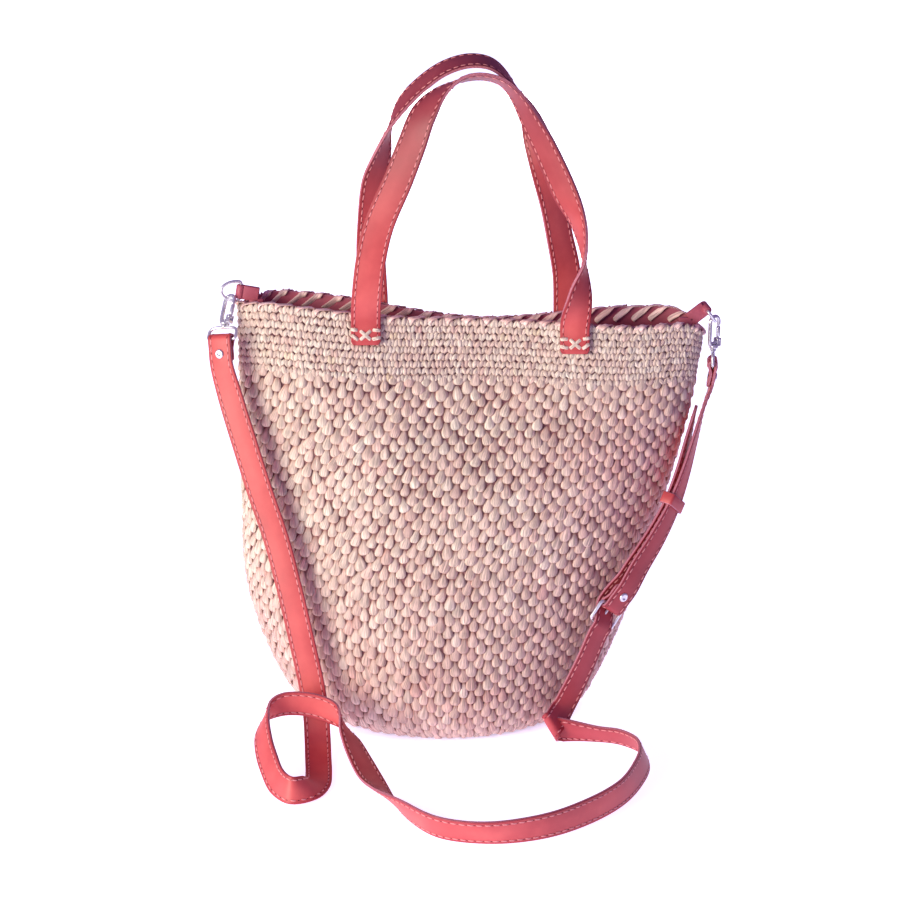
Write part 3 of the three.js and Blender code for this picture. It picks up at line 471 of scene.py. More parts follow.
HEIGHTS = np.linspace(0, BAG_HEIGHT, 500)
CLIMB = np.mean(
    [along_lengths(skin(np.full(len(HEIGHTS), u), HEIGHTS)) for u in np.arange(24) / 24], axis=0
)


def height_at(climbed):
    return np.interp(climbed, CLIMB, HEIGHTS)


def climb_at(height):
    return np.interp(height, HEIGHTS, CLIMB)


def stitch_places(u, climbed, wide, tall, inset):
    height = height_at(climbed)
    across = skin(u + wide / 2, height, inset) - skin(u - wide / 2, height, inset)
    up = skin(u, height_at(climbed + tall / 2), inset) - skin(u, height_at(climbed - tall / 2), inset)
    up = unit(up) * tall
    return skin(u, height, inset), across, up, unit(np.cross(across, up))


# Leather lines
def route_of(rows):
    return [(vec(*row[:3]), vec(*row[3:]), 0.0) for row in rows]


def spline(points, at, even=False):
    padded = np.vstack([2 * points[0] - points[1], points, 2 * points[-1] - points[-2]])
    i = np.clip(np.floor(at).astype(int), 0, len(points) - 2)
    w = (at - i)[:, None]
    p0, p1, p2, p3 = (padded[i + k] for k in range(4))
    if even:
        m1, m2 = (p2 - p0) / 2, (p3 - p1) / 2
    else:
        d0, d1, d2 = (
            np.linalg.norm(b - a, axis=1, keepdims=True) ** 0.5 for a, b in ((p0, p1), (p1, p2), (p2, p3))
        )
        m1 = ((p1 - p0) / d0 - (p2 - p0) / (d0 + d1) + (p2 - p1) / d1) * d1
        m2 = ((p2 - p1) / d1 - (p3 - p1) / (d1 + d2) + (p3 - p2) / d2) * d1
    return p1 + m1 * w + (-3 * p1 + 3 * p2 - 2 * m1 - m2) * w**2 + (2 * p1 - 2 * p2 + m1 + m2) * w**3


def strap_frames(route, width, step):
    at, across, slant = (np.array([row[k] for row in route]) for k in range(3))
    last = len(route) - 1
    counts = [max(1, round(float(np.linalg.norm(at[i + 1] - at[i])) / step)) for i in range(last)]
    spots = np.concatenate([i + np.arange(n) / n for i, n in enumerate(counts)] + [[last]])
    near = 1e-4 * last
    ahead, behind = np.clip(spots + near, 0, last), np.clip(spots - near, 0, last)
    along = unit(spline(at, ahead) - spline(at, behind))
    raw = unit(spline(across, spots, True))
    square = unit(raw - along * np.sum(raw * along, 1, keepdims=True))
    lean = np.interp(spots, np.arange(last + 1), slant)[:, None]
    side = unit(square + (raw - square) * lean)
    out = np.cross(along, side)
    half = width / 2 / np.linalg.norm(out, axis=1)
    return {"at": spline(at, spots), "along": along, "across": side, "out": unit(out), "half": half}


WRAP_RADIUS = WIRE + STRAP.wrap_gap + STRAP.thickness / 2
PLY_PITCH = STRAP.thickness + CLEARANCE
WRAP_STEPS = 6


def wrap_at(bar, across, towards, facing):
    side = unit(across)
    run = np.asarray(towards) - bar
    run = unit(run - side * np.dot(run, side))
    face = np.cross(run, side)
    face = face * np.sign(np.dot(face, facing))

    def row(along, out):
        return bar + run * along + face * out, side, 0.0

    turn = np.pi * np.arange(WRAP_STEPS + 1) / WRAP_STEPS
    bend = [row(-WRAP_RADIUS * math.sin(a), -WRAP_RADIUS * math.cos(a)) for a in turn]
    flap_out = WRAP_RADIUS - PLY_PITCH
    flat = RIVET.from_bar - RIVET.head - STRAP.wrap_gap
    flap = [row(FLAP_LENGTH, flap_out), row(RIVET.from_bar, flap_out), row(flat, flap_out)]
    closing = row(flat / 2, flap_out - WRAP_RADIUS / 2)
    route = [*flap, closing, *bend, row(flat, WRAP_RADIUS), row(FLAP_LENGTH, WRAP_RADIUS)]
    return Named(bar=bar, run=run, face=face, side=side, route=route)


def turned(vector, axis, angle):
    cos, sin = math.cos(angle), math.sin(angle)
    return vector * cos + np.cross(axis, vector) * sin + axis * np.dot(axis, vector) * (1 - cos)


def fold_route():
    axis, start = unit(FOLD.axis), unit(FOLD.arriving)
    rise = np.dot(start, axis)
    level = start - axis * rise
    pace = rise / np.linalg.norm(level)
    out = np.cross(unit(level), axis)
    radius = FOLD.radius
    centre = vec(*FOLD.at) - out * radius
    angles = FOLD.turn * np.arange(FOLD.steps + 1) / FOLD.steps
    return [(centre + turned(out, axis, a) * radius + axis * pace * radius * a, axis, 1.0) for a in angles]


def wall_spot(x, z, side):
    height = z - rim_lift(x, side) * (z / BAG_HEIGHT) ** 3
    left, right, roundness = (section(name, height) for name in ("left", "right", "roundness"))
    share = (2 * x - left - right) / (right - left)
    deep = section("back" if side > 0 else "front", height) * (1 - pinch(height, x))
    return vec(x, side * deep * (1 - abs(share) ** roundness) ** (1 / roundness), z)


def handle_route(handle):
    side = handle.side
    lift = HANDLE.thickness / 2 + CLEARANCE + HANDLE.stand_off

    def foot(x, way):
        rim = rim_lift(x, side) + BAG_HEIGHT
        rows = []
        for drop_by in (HANDLE.end_drop, HANDLE.end_drop / 2, 0):
            spot = wall_spot(x, rim - drop_by, side) + vec(0, side * lift, 0)
            across = wall_spot(x + 5, rim - drop_by, side) - wall_spot(x - 5, rim - drop_by, side)
            rows.append((spot, unit(across) * way, 0.0))
        return rows[::way]

    left, right = handle.feet
    return foot(left, 1) + route_of(handle.rows) + foot(right, -1)


def hang_of(side):
    ring = place(side.bar, side.ring_out, side.bar_axis)
    up = unit(side.hook_up)
    swivel = moved(ring, side.hang) - up * (HOOK.bend_height + HOOK.ring_lift)
    eye = place(swivel, side.eye_across, up)
    hook = place(swivel, side.hook_across, up)
    return Named(ring=ring, hook=hook, eye=eye, bar=moved(eye, (0, 0, -EYE.drop)))


hang = {name: hang_of(side) for name, side in SIDES.items()}
buckle = place(BUCKLE_PLACE.at, BUCKLE_PLACE.across, BUCKLE_PLACE.up)
OUTSIDE = vec(0.6, -0.8, 0)
left_route, short_route = route_of(LEFT_RUN), route_of(SHORT_RUN)
left_wrap = wrap_at(hang["left"].bar, hang["left"].eye[:3, 0], left_route[0][0], (0, -1, 0))
right_wrap = wrap_at(hang["right"].bar, hang["right"].eye[:3, 0], short_route[-1][0], (1, 0, 0))
buckle_wrap = wrap_at(vec(*BUCKLE_PLACE.at), buckle[:3, 0], short_route[0][0], OUTSIDE)
short_line = buckle_wrap.route + short_route + right_wrap.route[::-1]


# The short strap above the buckle, by distance up from the heel bar
def short_rise():
    frames = strap_frames(short_line, STRAP.width, STRAP.step)
    low = int(np.argmin(frames["at"][:, 2]))
    kept = {name: values[low:] for name, values in frames.items()}
    kept["up"] = along_lengths(kept["at"]) - np.pi / 2 * WRAP_RADIUS
    return kept


rise = short_rise()


def short_at(up):
    i = max(1, int(np.argmax(rise["up"] >= up)))
    share = (up - rise["up"][i - 1]) / (rise["up"][i] - rise["up"][i - 1])
    mix = {k: rise[k][i - 1] * (1 - share) + rise[k][i] * share for k in ("at", "across", "along", "out")}
    out = unit(mix["out"])
    return mix["at"], unit(mix["across"]), unit(mix["along"]), out * np.sign(np.dot(out, OUTSIDE))


def free_end_route():
    route = []
    for up, behind in zip(FREE_END["up"], FREE_END["behind"]):
        at, across, _, out = short_at(up)
        route.append((at - out * behind, across, 0.0))
    return route


def buckle_route():
    start, across, up, face = vec(*BUCKLE_PLACE.at), buckle[:3, 0], buckle[:3, 2], buckle_wrap.face
    run = zip(BUCKLE_RUN["up"], BUCKLE_RUN["out"])
    return [(start + up * u + face * o, across, 0.0) for u, o in run]


long_line = (
    left_wrap.route + left_route + fold_route() + route_of(RISE) + buckle_route() + free_end_route()
)


# Materials
class Look:
    def __init__(self, name):
        self.material = bpy.data.materials.new(name)
        self.material.use_nodes = True
        self.tree = self.material.node_tree
        self.surface = self.tree.nodes["Principled BSDF"]

    def feed(self, socket, value):
        if isinstance(value, bpy.types.NodeSocket):
            self.tree.links.new(value, socket)
        else:
            socket.default_value = value

    def node(self, kind, inputs=None, **settings):
        node = self.tree.nodes.new(kind)
        for key, value in settings.items():
            setattr(node, key, value)
        for key, value in (inputs or {}).items():
            self.feed(node.inputs[key], value)
        return node

    def set(self, **sockets):
        for key, value in sockets.items():
            self.feed(self.surface.inputs[key.replace("_", " ")], value)
        return self.material

    def value(self, name):
        return self.node("ShaderNodeAttribute", attribute_name=name).outputs["Fac"]

    def ramp(self, factor, stops):
        node = self.node("ShaderNodeValToRGB", {"Fac": factor})
        ramp = node.color_ramp
        while len(ramp.elements) < len(stops):
            ramp.elements.new(0.5)
        for element, (position, colour) in zip(ramp.elements, stops):
            element.position = position
            element.color = (*colour, 1)
        return node.outputs["Color"]

    def mix(self, blend, factor, a, b):
        node = self.node("ShaderNodeMix", {0: factor, 6: a, 7: b}, data_type="RGBA", blend_type=blend)
        return node.outputs[2]

    def noise(self, vector, scale, detail=3.0, rough=0.5):
        inputs = {"Vector": vector, "Scale": scale, "Detail": detail, "Roughness": rough}
        return self.node("ShaderNodeTexNoise", inputs).outputs["Fac"]

    def stretched(self, source, scale):
        return self.node("ShaderNodeMapping", {"Vector": source, "Scale": scale}).outputs["Vector"]

    def place(self):
        return self.node("ShaderNodeTexCoord").outputs["Object"]

    def axes(self):
        return self.node("ShaderNodeSeparateXYZ", {"Vector": self.place()}).outputs

    def fibre(self):
        return self.node("ShaderNodeUVMap", uv_map="fibre").outputs["UV"]

    def tint(self, value):
        inputs = {"Red": value, "Green": value, "Blue": value}
        return self.node("ShaderNodeCombineColor", inputs).outputs["Color"]

    def tinted(self, factor, colour, tint):
        return self.mix("MULTIPLY", factor, colour, (*tint, 1))

    def length(self, vector):
        return self.node("ShaderNodeVectorMath", {0: vector}, operation="LENGTH").outputs["Value"]

    def range(self, value, low, high, to_low, to_high):
        inputs = {"Value": value, 1: low, 2: high, 3: to_low, 4: to_high}
        return self.node("ShaderNodeMapRange", inputs).outputs["Result"]

    def math(self, operation, a, b):
        return self.node("ShaderNodeMath", {0: a, 1: b}, operation=operation).outputs["Value"]

    def bump(self, height, strength, distance, normal=None):
        inputs = {"Height": height, "Strength": strength, "Distance": distance}
        if normal is not None:
            inputs["Normal"] = normal
        return self.node("ShaderNodeBump", inputs).outputs["Normal"]


def srgb(red, green, blue):
    shares = (red / 255, green / 255, blue / 255)
    return tuple(c / 12.92 if c <= 0.04 else ((c + 0.055) / 1.055) ** 2.4 for c in shares)


# Raffia near the floor is painted a little darker as painted shade, and at the right, below the band of finer
# stitches, it is painted pinker and darker as painted shade too
LOW_SHADE = Named(z=(0.03, 0.16), tint=srgb(240, 226, 230))
RIGHT_SHADE = Named(x=(0.06, 0.17), z=(0.24, 0.3), tint=srgb(250, 227, 233))
# Tint that paints the tucked, inner parts of each stitch darker, as painted shade
TUCKED_SHADE = srgb(196, 150, 146)
RAFFIA_TONES = [(0.0, srgb(226, 188, 176)), (0.3, srgb(234, 206, 189)), (0.6, srgb(240, 219, 200)),
                (0.85, srgb(245, 231, 213)), (1.0, srgb(238, 214, 182))]


def raffia_look(name, dim=1.0, blush=(1, 1, 1)):
    look = Look(name)
    streaks = look.noise(look.stretched(look.fibre(), (5, 0.8, 1)), 1.0, 3.0, 0.6)
    threads = look.noise(look.stretched(look.fibre(), (22, 1.6, 1)), 1.0, 2.0, 0.5)
    shade = look.tint(look.range(streaks, 0.36, 0.64, 0.66 * dim, 1.12 * dim))
    colour = look.tinted(1.0, look.ramp(look.value("tone"), RAFFIA_TONES), blush)
    colour = look.mix("MULTIPLY", 1.0, colour, shade)
    colour = look.mix("MULTIPLY", 0.7, colour, look.tint(look.range(threads, 0.36, 0.64, 0.55, 1.25)))
    # Painted shade: the parts of a stitch that lie deep, by its depth value, take the darker tint
    raised = look.range(look.value("depth"), 0.2, 0.7, 0.0, 1.0)
    colour = look.mix("MIX", raised, look.tinted(1.0, colour, TUCKED_SHADE), colour)
    x, _, z = look.axes()
    # Painted shade: the raffia is darker near the floor
    colour = look.tinted(look.range(z, *LOW_SHADE.z, 1.0, 0.0), colour, LOW_SHADE.tint)
    # Painted shade: pinker, darker raffia on the right side below the fine band
    right_shade = look.math("MULTIPLY", look.range(x, *RIGHT_SHADE.x, 0.0, 1.0), look.range(z, *RIGHT_SHADE.z, 1.0, 0.0))
    colour = look.tinted(right_shade, colour, RIGHT_SHADE.tint)
    normal = look.bump(threads, 0.5, 0.0004, look.bump(streaks, 0.7, 0.0009))
    return look.set(Base_Color=colour, Roughness=0.6, Normal=normal, Specular_IOR_Level=0.4)


# The gaps between the finer stitches are deeper, and their colour is painted darker there as painted shade
BAND_FROM = (BAG_HEIGHT - FINE.depth) * MM
BAND_BLEND = 0.01
BAND_GAP_SHADE = srgb(186, 172, 182)


# Dark raffia colour for the gaps between stitches: painted shade
def gap_shade_look():
    look = Look("raffia_gap_shade")
    spots = look.noise(look.place(), 420.0, 3.0)
    colour = look.ramp(spots, [(0.3, srgb(112, 70, 76)), (0.7, srgb(156, 112, 112))])
    fine = look.range(look.axes()["Z"], BAND_FROM - BAND_BLEND, BAND_FROM, 0.0, 1.0)
    # Painted shade: darker gaps in the fine band
    colour = look.tinted(fine, colour, BAND_GAP_SHADE)
    return look.set(Base_Color=colour, Roughness=0.9, Normal=look.bump(spots, 0.6, 0.001))


# Leather is deeper in colour along its margins; at the tops of the handles and where the strap rises at the
# right it is painted darker and more violet, as painted shade
MARGIN_TINT = srgb(204, 156, 178)
HANDLE_TOP_SHADE = Named(z=(0.41, 0.52), tint=srgb(192, 194, 216))
STRAP_RISE_SHADE = Named(x=(0.05, 0.1), y=(-0.25, -0.14), z=(0.12, 0.24), tint=srgb(216, 190, 210))


def leather_look(name, dark, mid, light, rough=0.46):
    look = Look(name)
    broad = look.noise(look.place(), 26.0, 4.0, 0.55)
    colour = look.ramp(broad, [(0.3, dark), (0.5, mid), (0.72, light)])
    margin = look.range(look.value("depth"), 0.0, 1.0, 1.0, 0.0)
    colour = look.tinted(margin, colour, MARGIN_TINT)
    x, y, z = look.axes()
    # Painted shade: darker, more violet leather at the tops of the handles
    colour = look.tinted(look.range(z, *HANDLE_TOP_SHADE.z, 0.0, 1.0), colour, HANDLE_TOP_SHADE.tint)
    # Painted shade: darker, more violet leather where the strap folds and rises at the right
    right, front = look.range(x, *STRAP_RISE_SHADE.x, 0.0, 1.0), look.range(y, *STRAP_RISE_SHADE.y, 0.0, 1.0)
    strap_shade = look.math("MULTIPLY", right, front)
    strap_shade = look.math("MULTIPLY", strap_shade, look.range(z, *STRAP_RISE_SHADE.z, 1.0, 0.0))
    colour = look.tinted(strap_shade, colour, STRAP_RISE_SHADE.tint)
    cells = {"Vector": look.place(), "Scale": 1150.0}
    grain = look.node("ShaderNodeTexVoronoi", cells, feature="DISTANCE_TO_EDGE").outputs["Distance"]
    pores = look.noise(look.place(), 2600.0, 2.0)
    normal = look.bump(pores, 0.1, 0.0002, look.bump(grain, 0.12, 0.0003))
    roughness = look.range(broad, 0.3, 0.7, rough - 0.05, rough + 0.08)
    return look.set(Base_Color=colour, Roughness=roughness, Normal=normal, Specular_IOR_Level=0.42)


def edge_look():
    look = Look("leather_edge")
    layers = look.noise(look.place(), 900.0, 3.0)
    colour = look.ramp(layers, [(0.3, srgb(168, 92, 110)), (0.7, srgb(202, 130, 144))])
    return look.set(Base_Color=colour, Roughness=0.6, Normal=look.bump(layers, 0.3, 0.0004))


def thread_look():
    look = Look("thread")
    waves = {"Vector": look.fibre(), "Scale": 2.2, "Distortion": 0.6}
    twist = look.node("ShaderNodeTexWave", waves, bands_direction="DIAGONAL").outputs["Fac"]
    colour = look.ramp(twist, [(0.2, srgb(220, 132, 134)), (0.7, srgb(236, 162, 160))])
    return look.set(Base_Color=colour, Roughness=0.6, Normal=look.bump(twist, 0.4, 0.0002))


# Dark discs where the stitch holes are: painted shade standing for the holes
def hole_shade_look():
    look = Look("stitch_hole_shade")
    spots = look.noise(look.place(), 900.0, 2.0)
    colour = look.ramp(spots, [(0.3, srgb(70, 18, 30)), (0.7, srgb(96, 30, 42))])
    return look.set(Base_Color=colour, Roughness=0.9)


def nickel_look():
    look = Look("nickel")
    cloud = look.noise(look.place(), 180.0, 4.0)
    fine = look.noise(look.place(), 2400.0, 2.0)
    colour = look.ramp(cloud, [(0.3, srgb(222, 222, 228)), (0.7, srgb(240, 240, 244))])
    roughness = look.range(cloud, 0.3, 0.7, 0.24, 0.36)
    normal = look.bump(fine, 0.04, 0.0002)
    return look.set(Base_Color=colour, Metallic=0.75, Roughness=roughness, Normal=normal)


RAFFIA = raffia_look("raffia")
STRAND = raffia_look("raffia_strand", 1.1)
# The whips are painted lighter than the raffia, as painted light against the shade inside the rim, and tinted
# pinker
WHIP = raffia_look("raffia_whip", 1.3, (1.0, 0.83, 0.89))
GAP_SHADE = gap_shade_look()
CORAL = leather_look("leather", srgb(194, 74, 76), srgb(209, 88, 87), srgb(221, 103, 99))
# The coral leather painted darker and more violet, as painted shade, for the rim binding and the ring tabs
CORAL_IN_SHADE = leather_look("binding_leather", srgb(160, 72, 90), srgb(180, 88, 104), srgb(194, 104, 118), 0.5)
EDGE = edge_look()
THREAD = thread_look()
HOLE_SHADE = hole_shade_look()
NICKEL = nickel_look()


# Crochet
PUFF_ROWS = [
    [-0.55, 0.26, 0.65, 0.3],
    [-0.49, 0.49, 1.45, 0.44],
    [-0.34, 0.645, 2.08, 0.5],
    [-0.11, 0.645, 2.1, 0.22],
    [0.15, 0.51, 1.7, -0.22],
    [0.44, 0.31, 1.07, -0.84],
    [0.72, 0.09, 0.4, -1.5],
]
LEG_ROWS = [
    [-0.74, 0.08, 0.3, -0.6],
    [-0.44, 0.23, 0.72, -0.15],
    [-0.12, 0.36, 1.05, 0.15],
    [0.2, 0.36, 1.1, 0.2],
    [0.46, 0.23, 0.75, -0.1],
    [0.78, 0.09, 0.3, -0.7],
]


def on_floor(shape):
    for points in shape.points:
        points[:, 2] = np.maximum(points[:, 2], FLOOR_GAP)


def grid(across, up):
    return (a.ravel() for a in np.meshgrid(np.arange(across), np.arange(up), indexing="ij"))


def tones(middle, spread, count):
    return np.clip(rng.normal(middle, spread, count), 0, 1)


def puffs():
    vary = PUFF_VARY
    wide = 1 / PUFF.columns
    top = float(climb_at(BAG_HEIGHT - FINE.depth))
    rows = round((top - PUFF.spare) / PUFF.rise)
    tall = (top - PUFF.spare) / rows
    column, row = grid(PUFF.columns, rows + 2)
    climbed = PUFF.first + tall * (row + 0.5 * (column % 2))
    keep = climbed < top + PUFF.over * tall
    column, climbed = column[keep], climbed[keep]
    count = len(column)
    u = (column + 0.5 + rng.normal(0, vary.u, count)) * wide
    climbed = climbed + rng.normal(0, vary.climb, count)
    at, across, up, out = stitch_places(u, climbed, wide, tall, PUFF.inset)
    at = at + out * rng.normal(0, vary.out, count)[:, None]
    tone = tones(*vary.tone, count)
    tilt = rng.normal(0, vary.tilt, count)
    grow = rng.normal(1.0, vary.grow, count)
    forms = [drop(PUFF_ROWS, PUFF.around, strands) for strands in PUFF.strands]
    pick = rng.integers(0, len(forms), count)
    front, low = (u % 1) < 0.5, climbed < np.median(climbed)
    for side, on_side in (("front", front), ("back", ~front)):
        for level, on_level in (("low", low), ("high", ~low)):
            shape = Shape()
            for k, form in enumerate(forms):
                m = on_side & on_level & (pick == k)
                stamp(shape, form, at[m], across[m], up[m], out[m], tone[m], tilt[m], grow[m])
            on_floor(shape)
            build(f"raffia_puffs_{side}_{level}", shape, [RAFFIA], "raffia")


def fine_band():
    vary = FINE_VARY
    wide = 1 / FINE.columns
    low, high = float(climb_at(BAG_HEIGHT - FINE.depth)), float(climb_at(BAG_HEIGHT))
    tall = (high - low) / FINE.rows
    column, row = grid(FINE.columns, FINE.rows)
    count = len(column)
    shape = Shape()
    form = drop(LEG_ROWS, FINE.around)
    tone = tones(*vary.tone, count)
    for side in (-1, 1):
        u = (column + 0.5 + 0.25 * side + 0.25 * (row % 2) + rng.normal(0, vary.u, count)) * wide
        climbed = low + tall * (row + 0.5) + rng.normal(0, vary.climb, count)
        at, across, up, out = stitch_places(u, climbed, wide, tall, FINE.inset)
        at = at + out * rng.normal(0, vary.out, count)[:, None]
        tilt = -FINE.lean * side + rng.normal(0, vary.tilt, count)
        stamp(shape, form, at, across, up, out, tone, tilt, rng.normal(1.0, vary.grow, count))
    build("raffia_band", shape, [RAFFIA], "raffia")


# The wall behind the stitches, with the stitches' backs on its inside; its outside, seen only in the gaps, is
# painted dark as the shade between the stitches
def wall_shell():
    cols = 3 * PUFF.columns
    u = np.arange(cols) / cols
    phase = 2 * np.pi * u * PUFF.columns
    band = BAG_HEIGHT - FINE.depth
    outer_heights = height_at(np.linspace(0, CLIMB[-1], SHELL.rings))
    rings = [skin(u, h, SHELL.inset if h < band else SHELL.fine_inset) for h in outer_heights]
    rings[0][:, 2] = SHELL.low
    for h in np.linspace(BAG_HEIGHT, SHELL.inner_low, SHELL.inner_rings):
        bumps = SHELL.bumps * np.cos(phase) * np.cos(2 * np.pi * climb_at(h) / SHELL.inner_row)
        rings.append(skin(u, h, section("wall", h) + bumps - SHELL.lift))
    floor_at = skin(u, BASE_THICKNESS, section("wall", BASE_THICKNESS))
    for share in np.linspace(1, 0.03, SHELL.base_rings):
        ring = BASE_MIDDLE + (floor_at - BASE_MIDDLE) * share
        ring[:, 2] = BASE_THICKNESS + SHELL.base_bumps * np.cos(phase) * np.cos(2 * np.pi * share * 10)
        rings.append(ring)
    count = SHELL.rings - 1
    kind = np.repeat([0, 1], [count * cols, (len(rings) - 1 - count) * cols])
    tone = np.clip(np.tile(0.4 + 0.25 * np.sin(phase * 3.7), len(rings)), 0, 1)
    uv = np.stack([np.tile(u * 200, len(rings)), np.repeat(np.arange(len(rings)) * 0.4, cols)], -1)
    shape = Shape()
    loft(shape, rings, kind=kind, cap_kind=[0, 1], tone=tone, depth=0.8, uv=uv)
    build("raffia_wall", shape, [GAP_SHADE, RAFFIA], "raffia", "raffia_body")


# Rounds of stitches under the base
def base_rounds():
    shape = Shape()
    edge = skin(np.arange(TURNS) / TURNS, 0.0)
    form = drop(LEG_ROWS, FINE.around)
    for k in range(ROUNDS.count):
        ring = BASE_MIDDLE + (edge - BASE_MIDDLE) * ((k + ROUNDS.first) / ROUNDS.spread)
        ring = np.vstack([ring, ring[:1]])
        around = along_lengths(ring)
        count = max(5, round(around[-1] / ROUNDS.pitch))
        spots = (np.arange(count) + 0.5 * (k % 2)) / count * around[-1]
        at = np.stack([np.interp(spots, around, ring[:, a]) for a in range(3)], -1)
        outward = unit((at - BASE_MIDDLE) * vec(1, 1, 0))
        at[:, 2] = ROUNDS.level
        out = np.tile(vec(0, 0, -1), (count, 1))
        across, up = np.cross(outward, out) * ROUNDS.width, outward * ROUNDS.height
        tone = tones(*ROUNDS.tone, count)
        stamp(shape, form, at, across, up, out, tone, rng.normal(*ROUNDS.tilt, count))
    on_floor(shape)
    build("raffia_base", shape, [RAFFIA], "raffia")


# Binding inside the mouth and the raffia that whips it to the rim
WALL_TOP = float(section("wall", BAG_HEIGHT))
BINDING_OUT = WALL_TOP + BINDING.gap
BINDING_IN = BINDING_OUT + BINDING.thickness


def binding():
    shape = Shape()
    u = np.arange(BINDING.columns) / BINDING.columns
    top, low, bevel = BAG_HEIGHT + BINDING.above, BAG_HEIGHT - BINDING.height, BINDING.bevel
    shift = float(section("wall", low)) - WALL_TOP
    outer, inner = BINDING_OUT, BINDING_IN
    low_outer, low_inner = outer + shift, inner + shift
    corners = [
        (top - bevel, outer), (low + bevel, low_outer), (low, low_outer + bevel), (low, low_inner - bevel),
        (low + bevel, low_inner), ((low + top) / 2, inner + shift / 2 + 0.25), (top - bevel, inner),
        (top + 0.1, inner - bevel), (top + 0.1, outer + bevel),
    ]
    rings = np.stack([skin(u, h, inset) for h, inset in corners], 1)
    loft(shape, rings, True, kind=[0, 1, 1, 1, 0, 0, 1, 1, 1])
    build("rim_leather", shape, [CORAL_IN_SHADE, EDGE], "binding_leather", "rim_binding")


# One whip from the outside over the rim and down the inside: share along, rise and way out
WHIP_PATH = [
    (-0.5, -2.6, -2.0), (-0.4, -1.0, -1.0), (-0.25, 0.4, -1.2), (0, 1.1, -WALL_TOP / 2 - 1),
    (0.3, 0.9, -BINDING_IN + 0.4), (0.5, -0.6, -BINDING_IN - 0.5), (0.8, -3.6, -BINDING_IN - 0.8),
    (1.15, -7.2, -BINDING_IN - 0.8), (1.35, -9.4, -BINDING_IN - 0.3), (1.4, -10.2, -BINDING_IN + 0.8),
]


def whipping():
    shape = Shape()
    length = along_lengths(skin(np.linspace(0, 1, TURNS + 1), BAG_HEIGHT))[-1]
    count, steps = round(length / WHIPPING.spacing), WHIPPING.steps
    along, lift, out = spline(np.array(WHIP_PATH), np.linspace(0, len(WHIP_PATH) - 1, steps)).T
    below = BAG_HEIGHT + np.minimum(lift, 0)
    climb = np.clip((lift + 2.5) / 4, 0, 1)[:, None]
    facing = np.where(np.arange(steps) < steps * 0.45, 1, -1)[:, None]
    for k in range(count):
        u = (k + rng.normal(0, WHIPPING.vary)) / count + along * (WHIPPING.lean / length)
        points = skin(u, below, -out)
        points[:, 2] += np.maximum(lift, 0)
        outward = unit(points - skin(u, below, -out + 1))
        normal = unit(outward * facing * (1 - climb) + vec(0, 0, 1) * climb + 1e-6)
        tone = rng.uniform(*WHIPPING.tone)
        uv = strand_uv(np.linspace(0, 3, steps)) + rng.uniform(0, STRAND_UV_SPREAD, 2)
        sweep(shape, points, normal, WHIPPING.half_width, WHIPPING.half_thickness, STRAND_SIDES,
              rounded=False, tone=tone, uv=uv)
    build("rim_whipping", shape, [WHIP], "raffia")


# Straps
def strap_shape(shape, frames, size, round_start, round_end):
    w, t = size.width / 2, size.thickness / 2
    seam = w - SEAM.from_edge
    quarter = [(w, 0.3 * t), (w - 0.1, t - 0.4), (w - 0.5, t - 0.12), (w - 1.1, t), (seam, t - SEAM.sunk),
               (seam - 1.6, t), (0, t + 0.1)]
    top = np.array(quarter + [(-x, y) for x, y in quarter[-2::-1]])
    groove = np.array([(w - PLY_GROOVE, 0)])
    profile = np.concatenate([top, -groove, -top, groove])
    run = along_lengths(frames["at"])
    scale = frames["half"] / w
    for radius, distance in ((round_start, run), (round_end, run[-1] - run)):
        into = np.clip(1 - distance / radius, 0, 1)
        scale = scale * (1 - radius / w * (1 - np.sqrt(1 - into**2 * 0.999)))
    rings = (
        frames["at"][:, None]
        + frames["across"][:, None] * profile[None, :, 0:1] * scale[:, None, None]
        + frames["out"][:, None] * profile[None, :, 1:2]
    )
    edge = np.array([-2, -1, 0, 1])
    kind = np.zeros(len(profile), int)
    kind[np.concatenate([edge + len(top), edge + len(profile) - 1]) % len(kind)] = 1
    inner = [0, 0, 0.1, 0.3, 0.5, 0.85, 1]
    depth = inner + inner[-2::-1] + [0]
    loft(shape, rings, kind=kind, cap_kind=1, depth=np.tile(depth, 2 * len(rings)))


def at_lengths(frames, spots):
    run = along_lengths(frames["at"])
    got = {}
    for name in ("at", "along", "across", "out"):
        got[name] = np.stack([np.interp(spots, run, frames[name][:, a]) for a in range(3)], -1)
    got["half"] = np.interp(spots, run, frames["half"])
    return got


STITCH_ROWS = [[-0.5, 0.35, 0.3, -0.1], [-0.25, 0.95, 1, 0], [0.25, 0.95, 1, 0], [0.5, 0.35, 0.3, -0.1]]
HOLE_ROWS = [[-0.5, 0.3, 0.2, 0], [0, 0.5, 0.25, 0], [0.5, 0.3, 0.2, 0]]


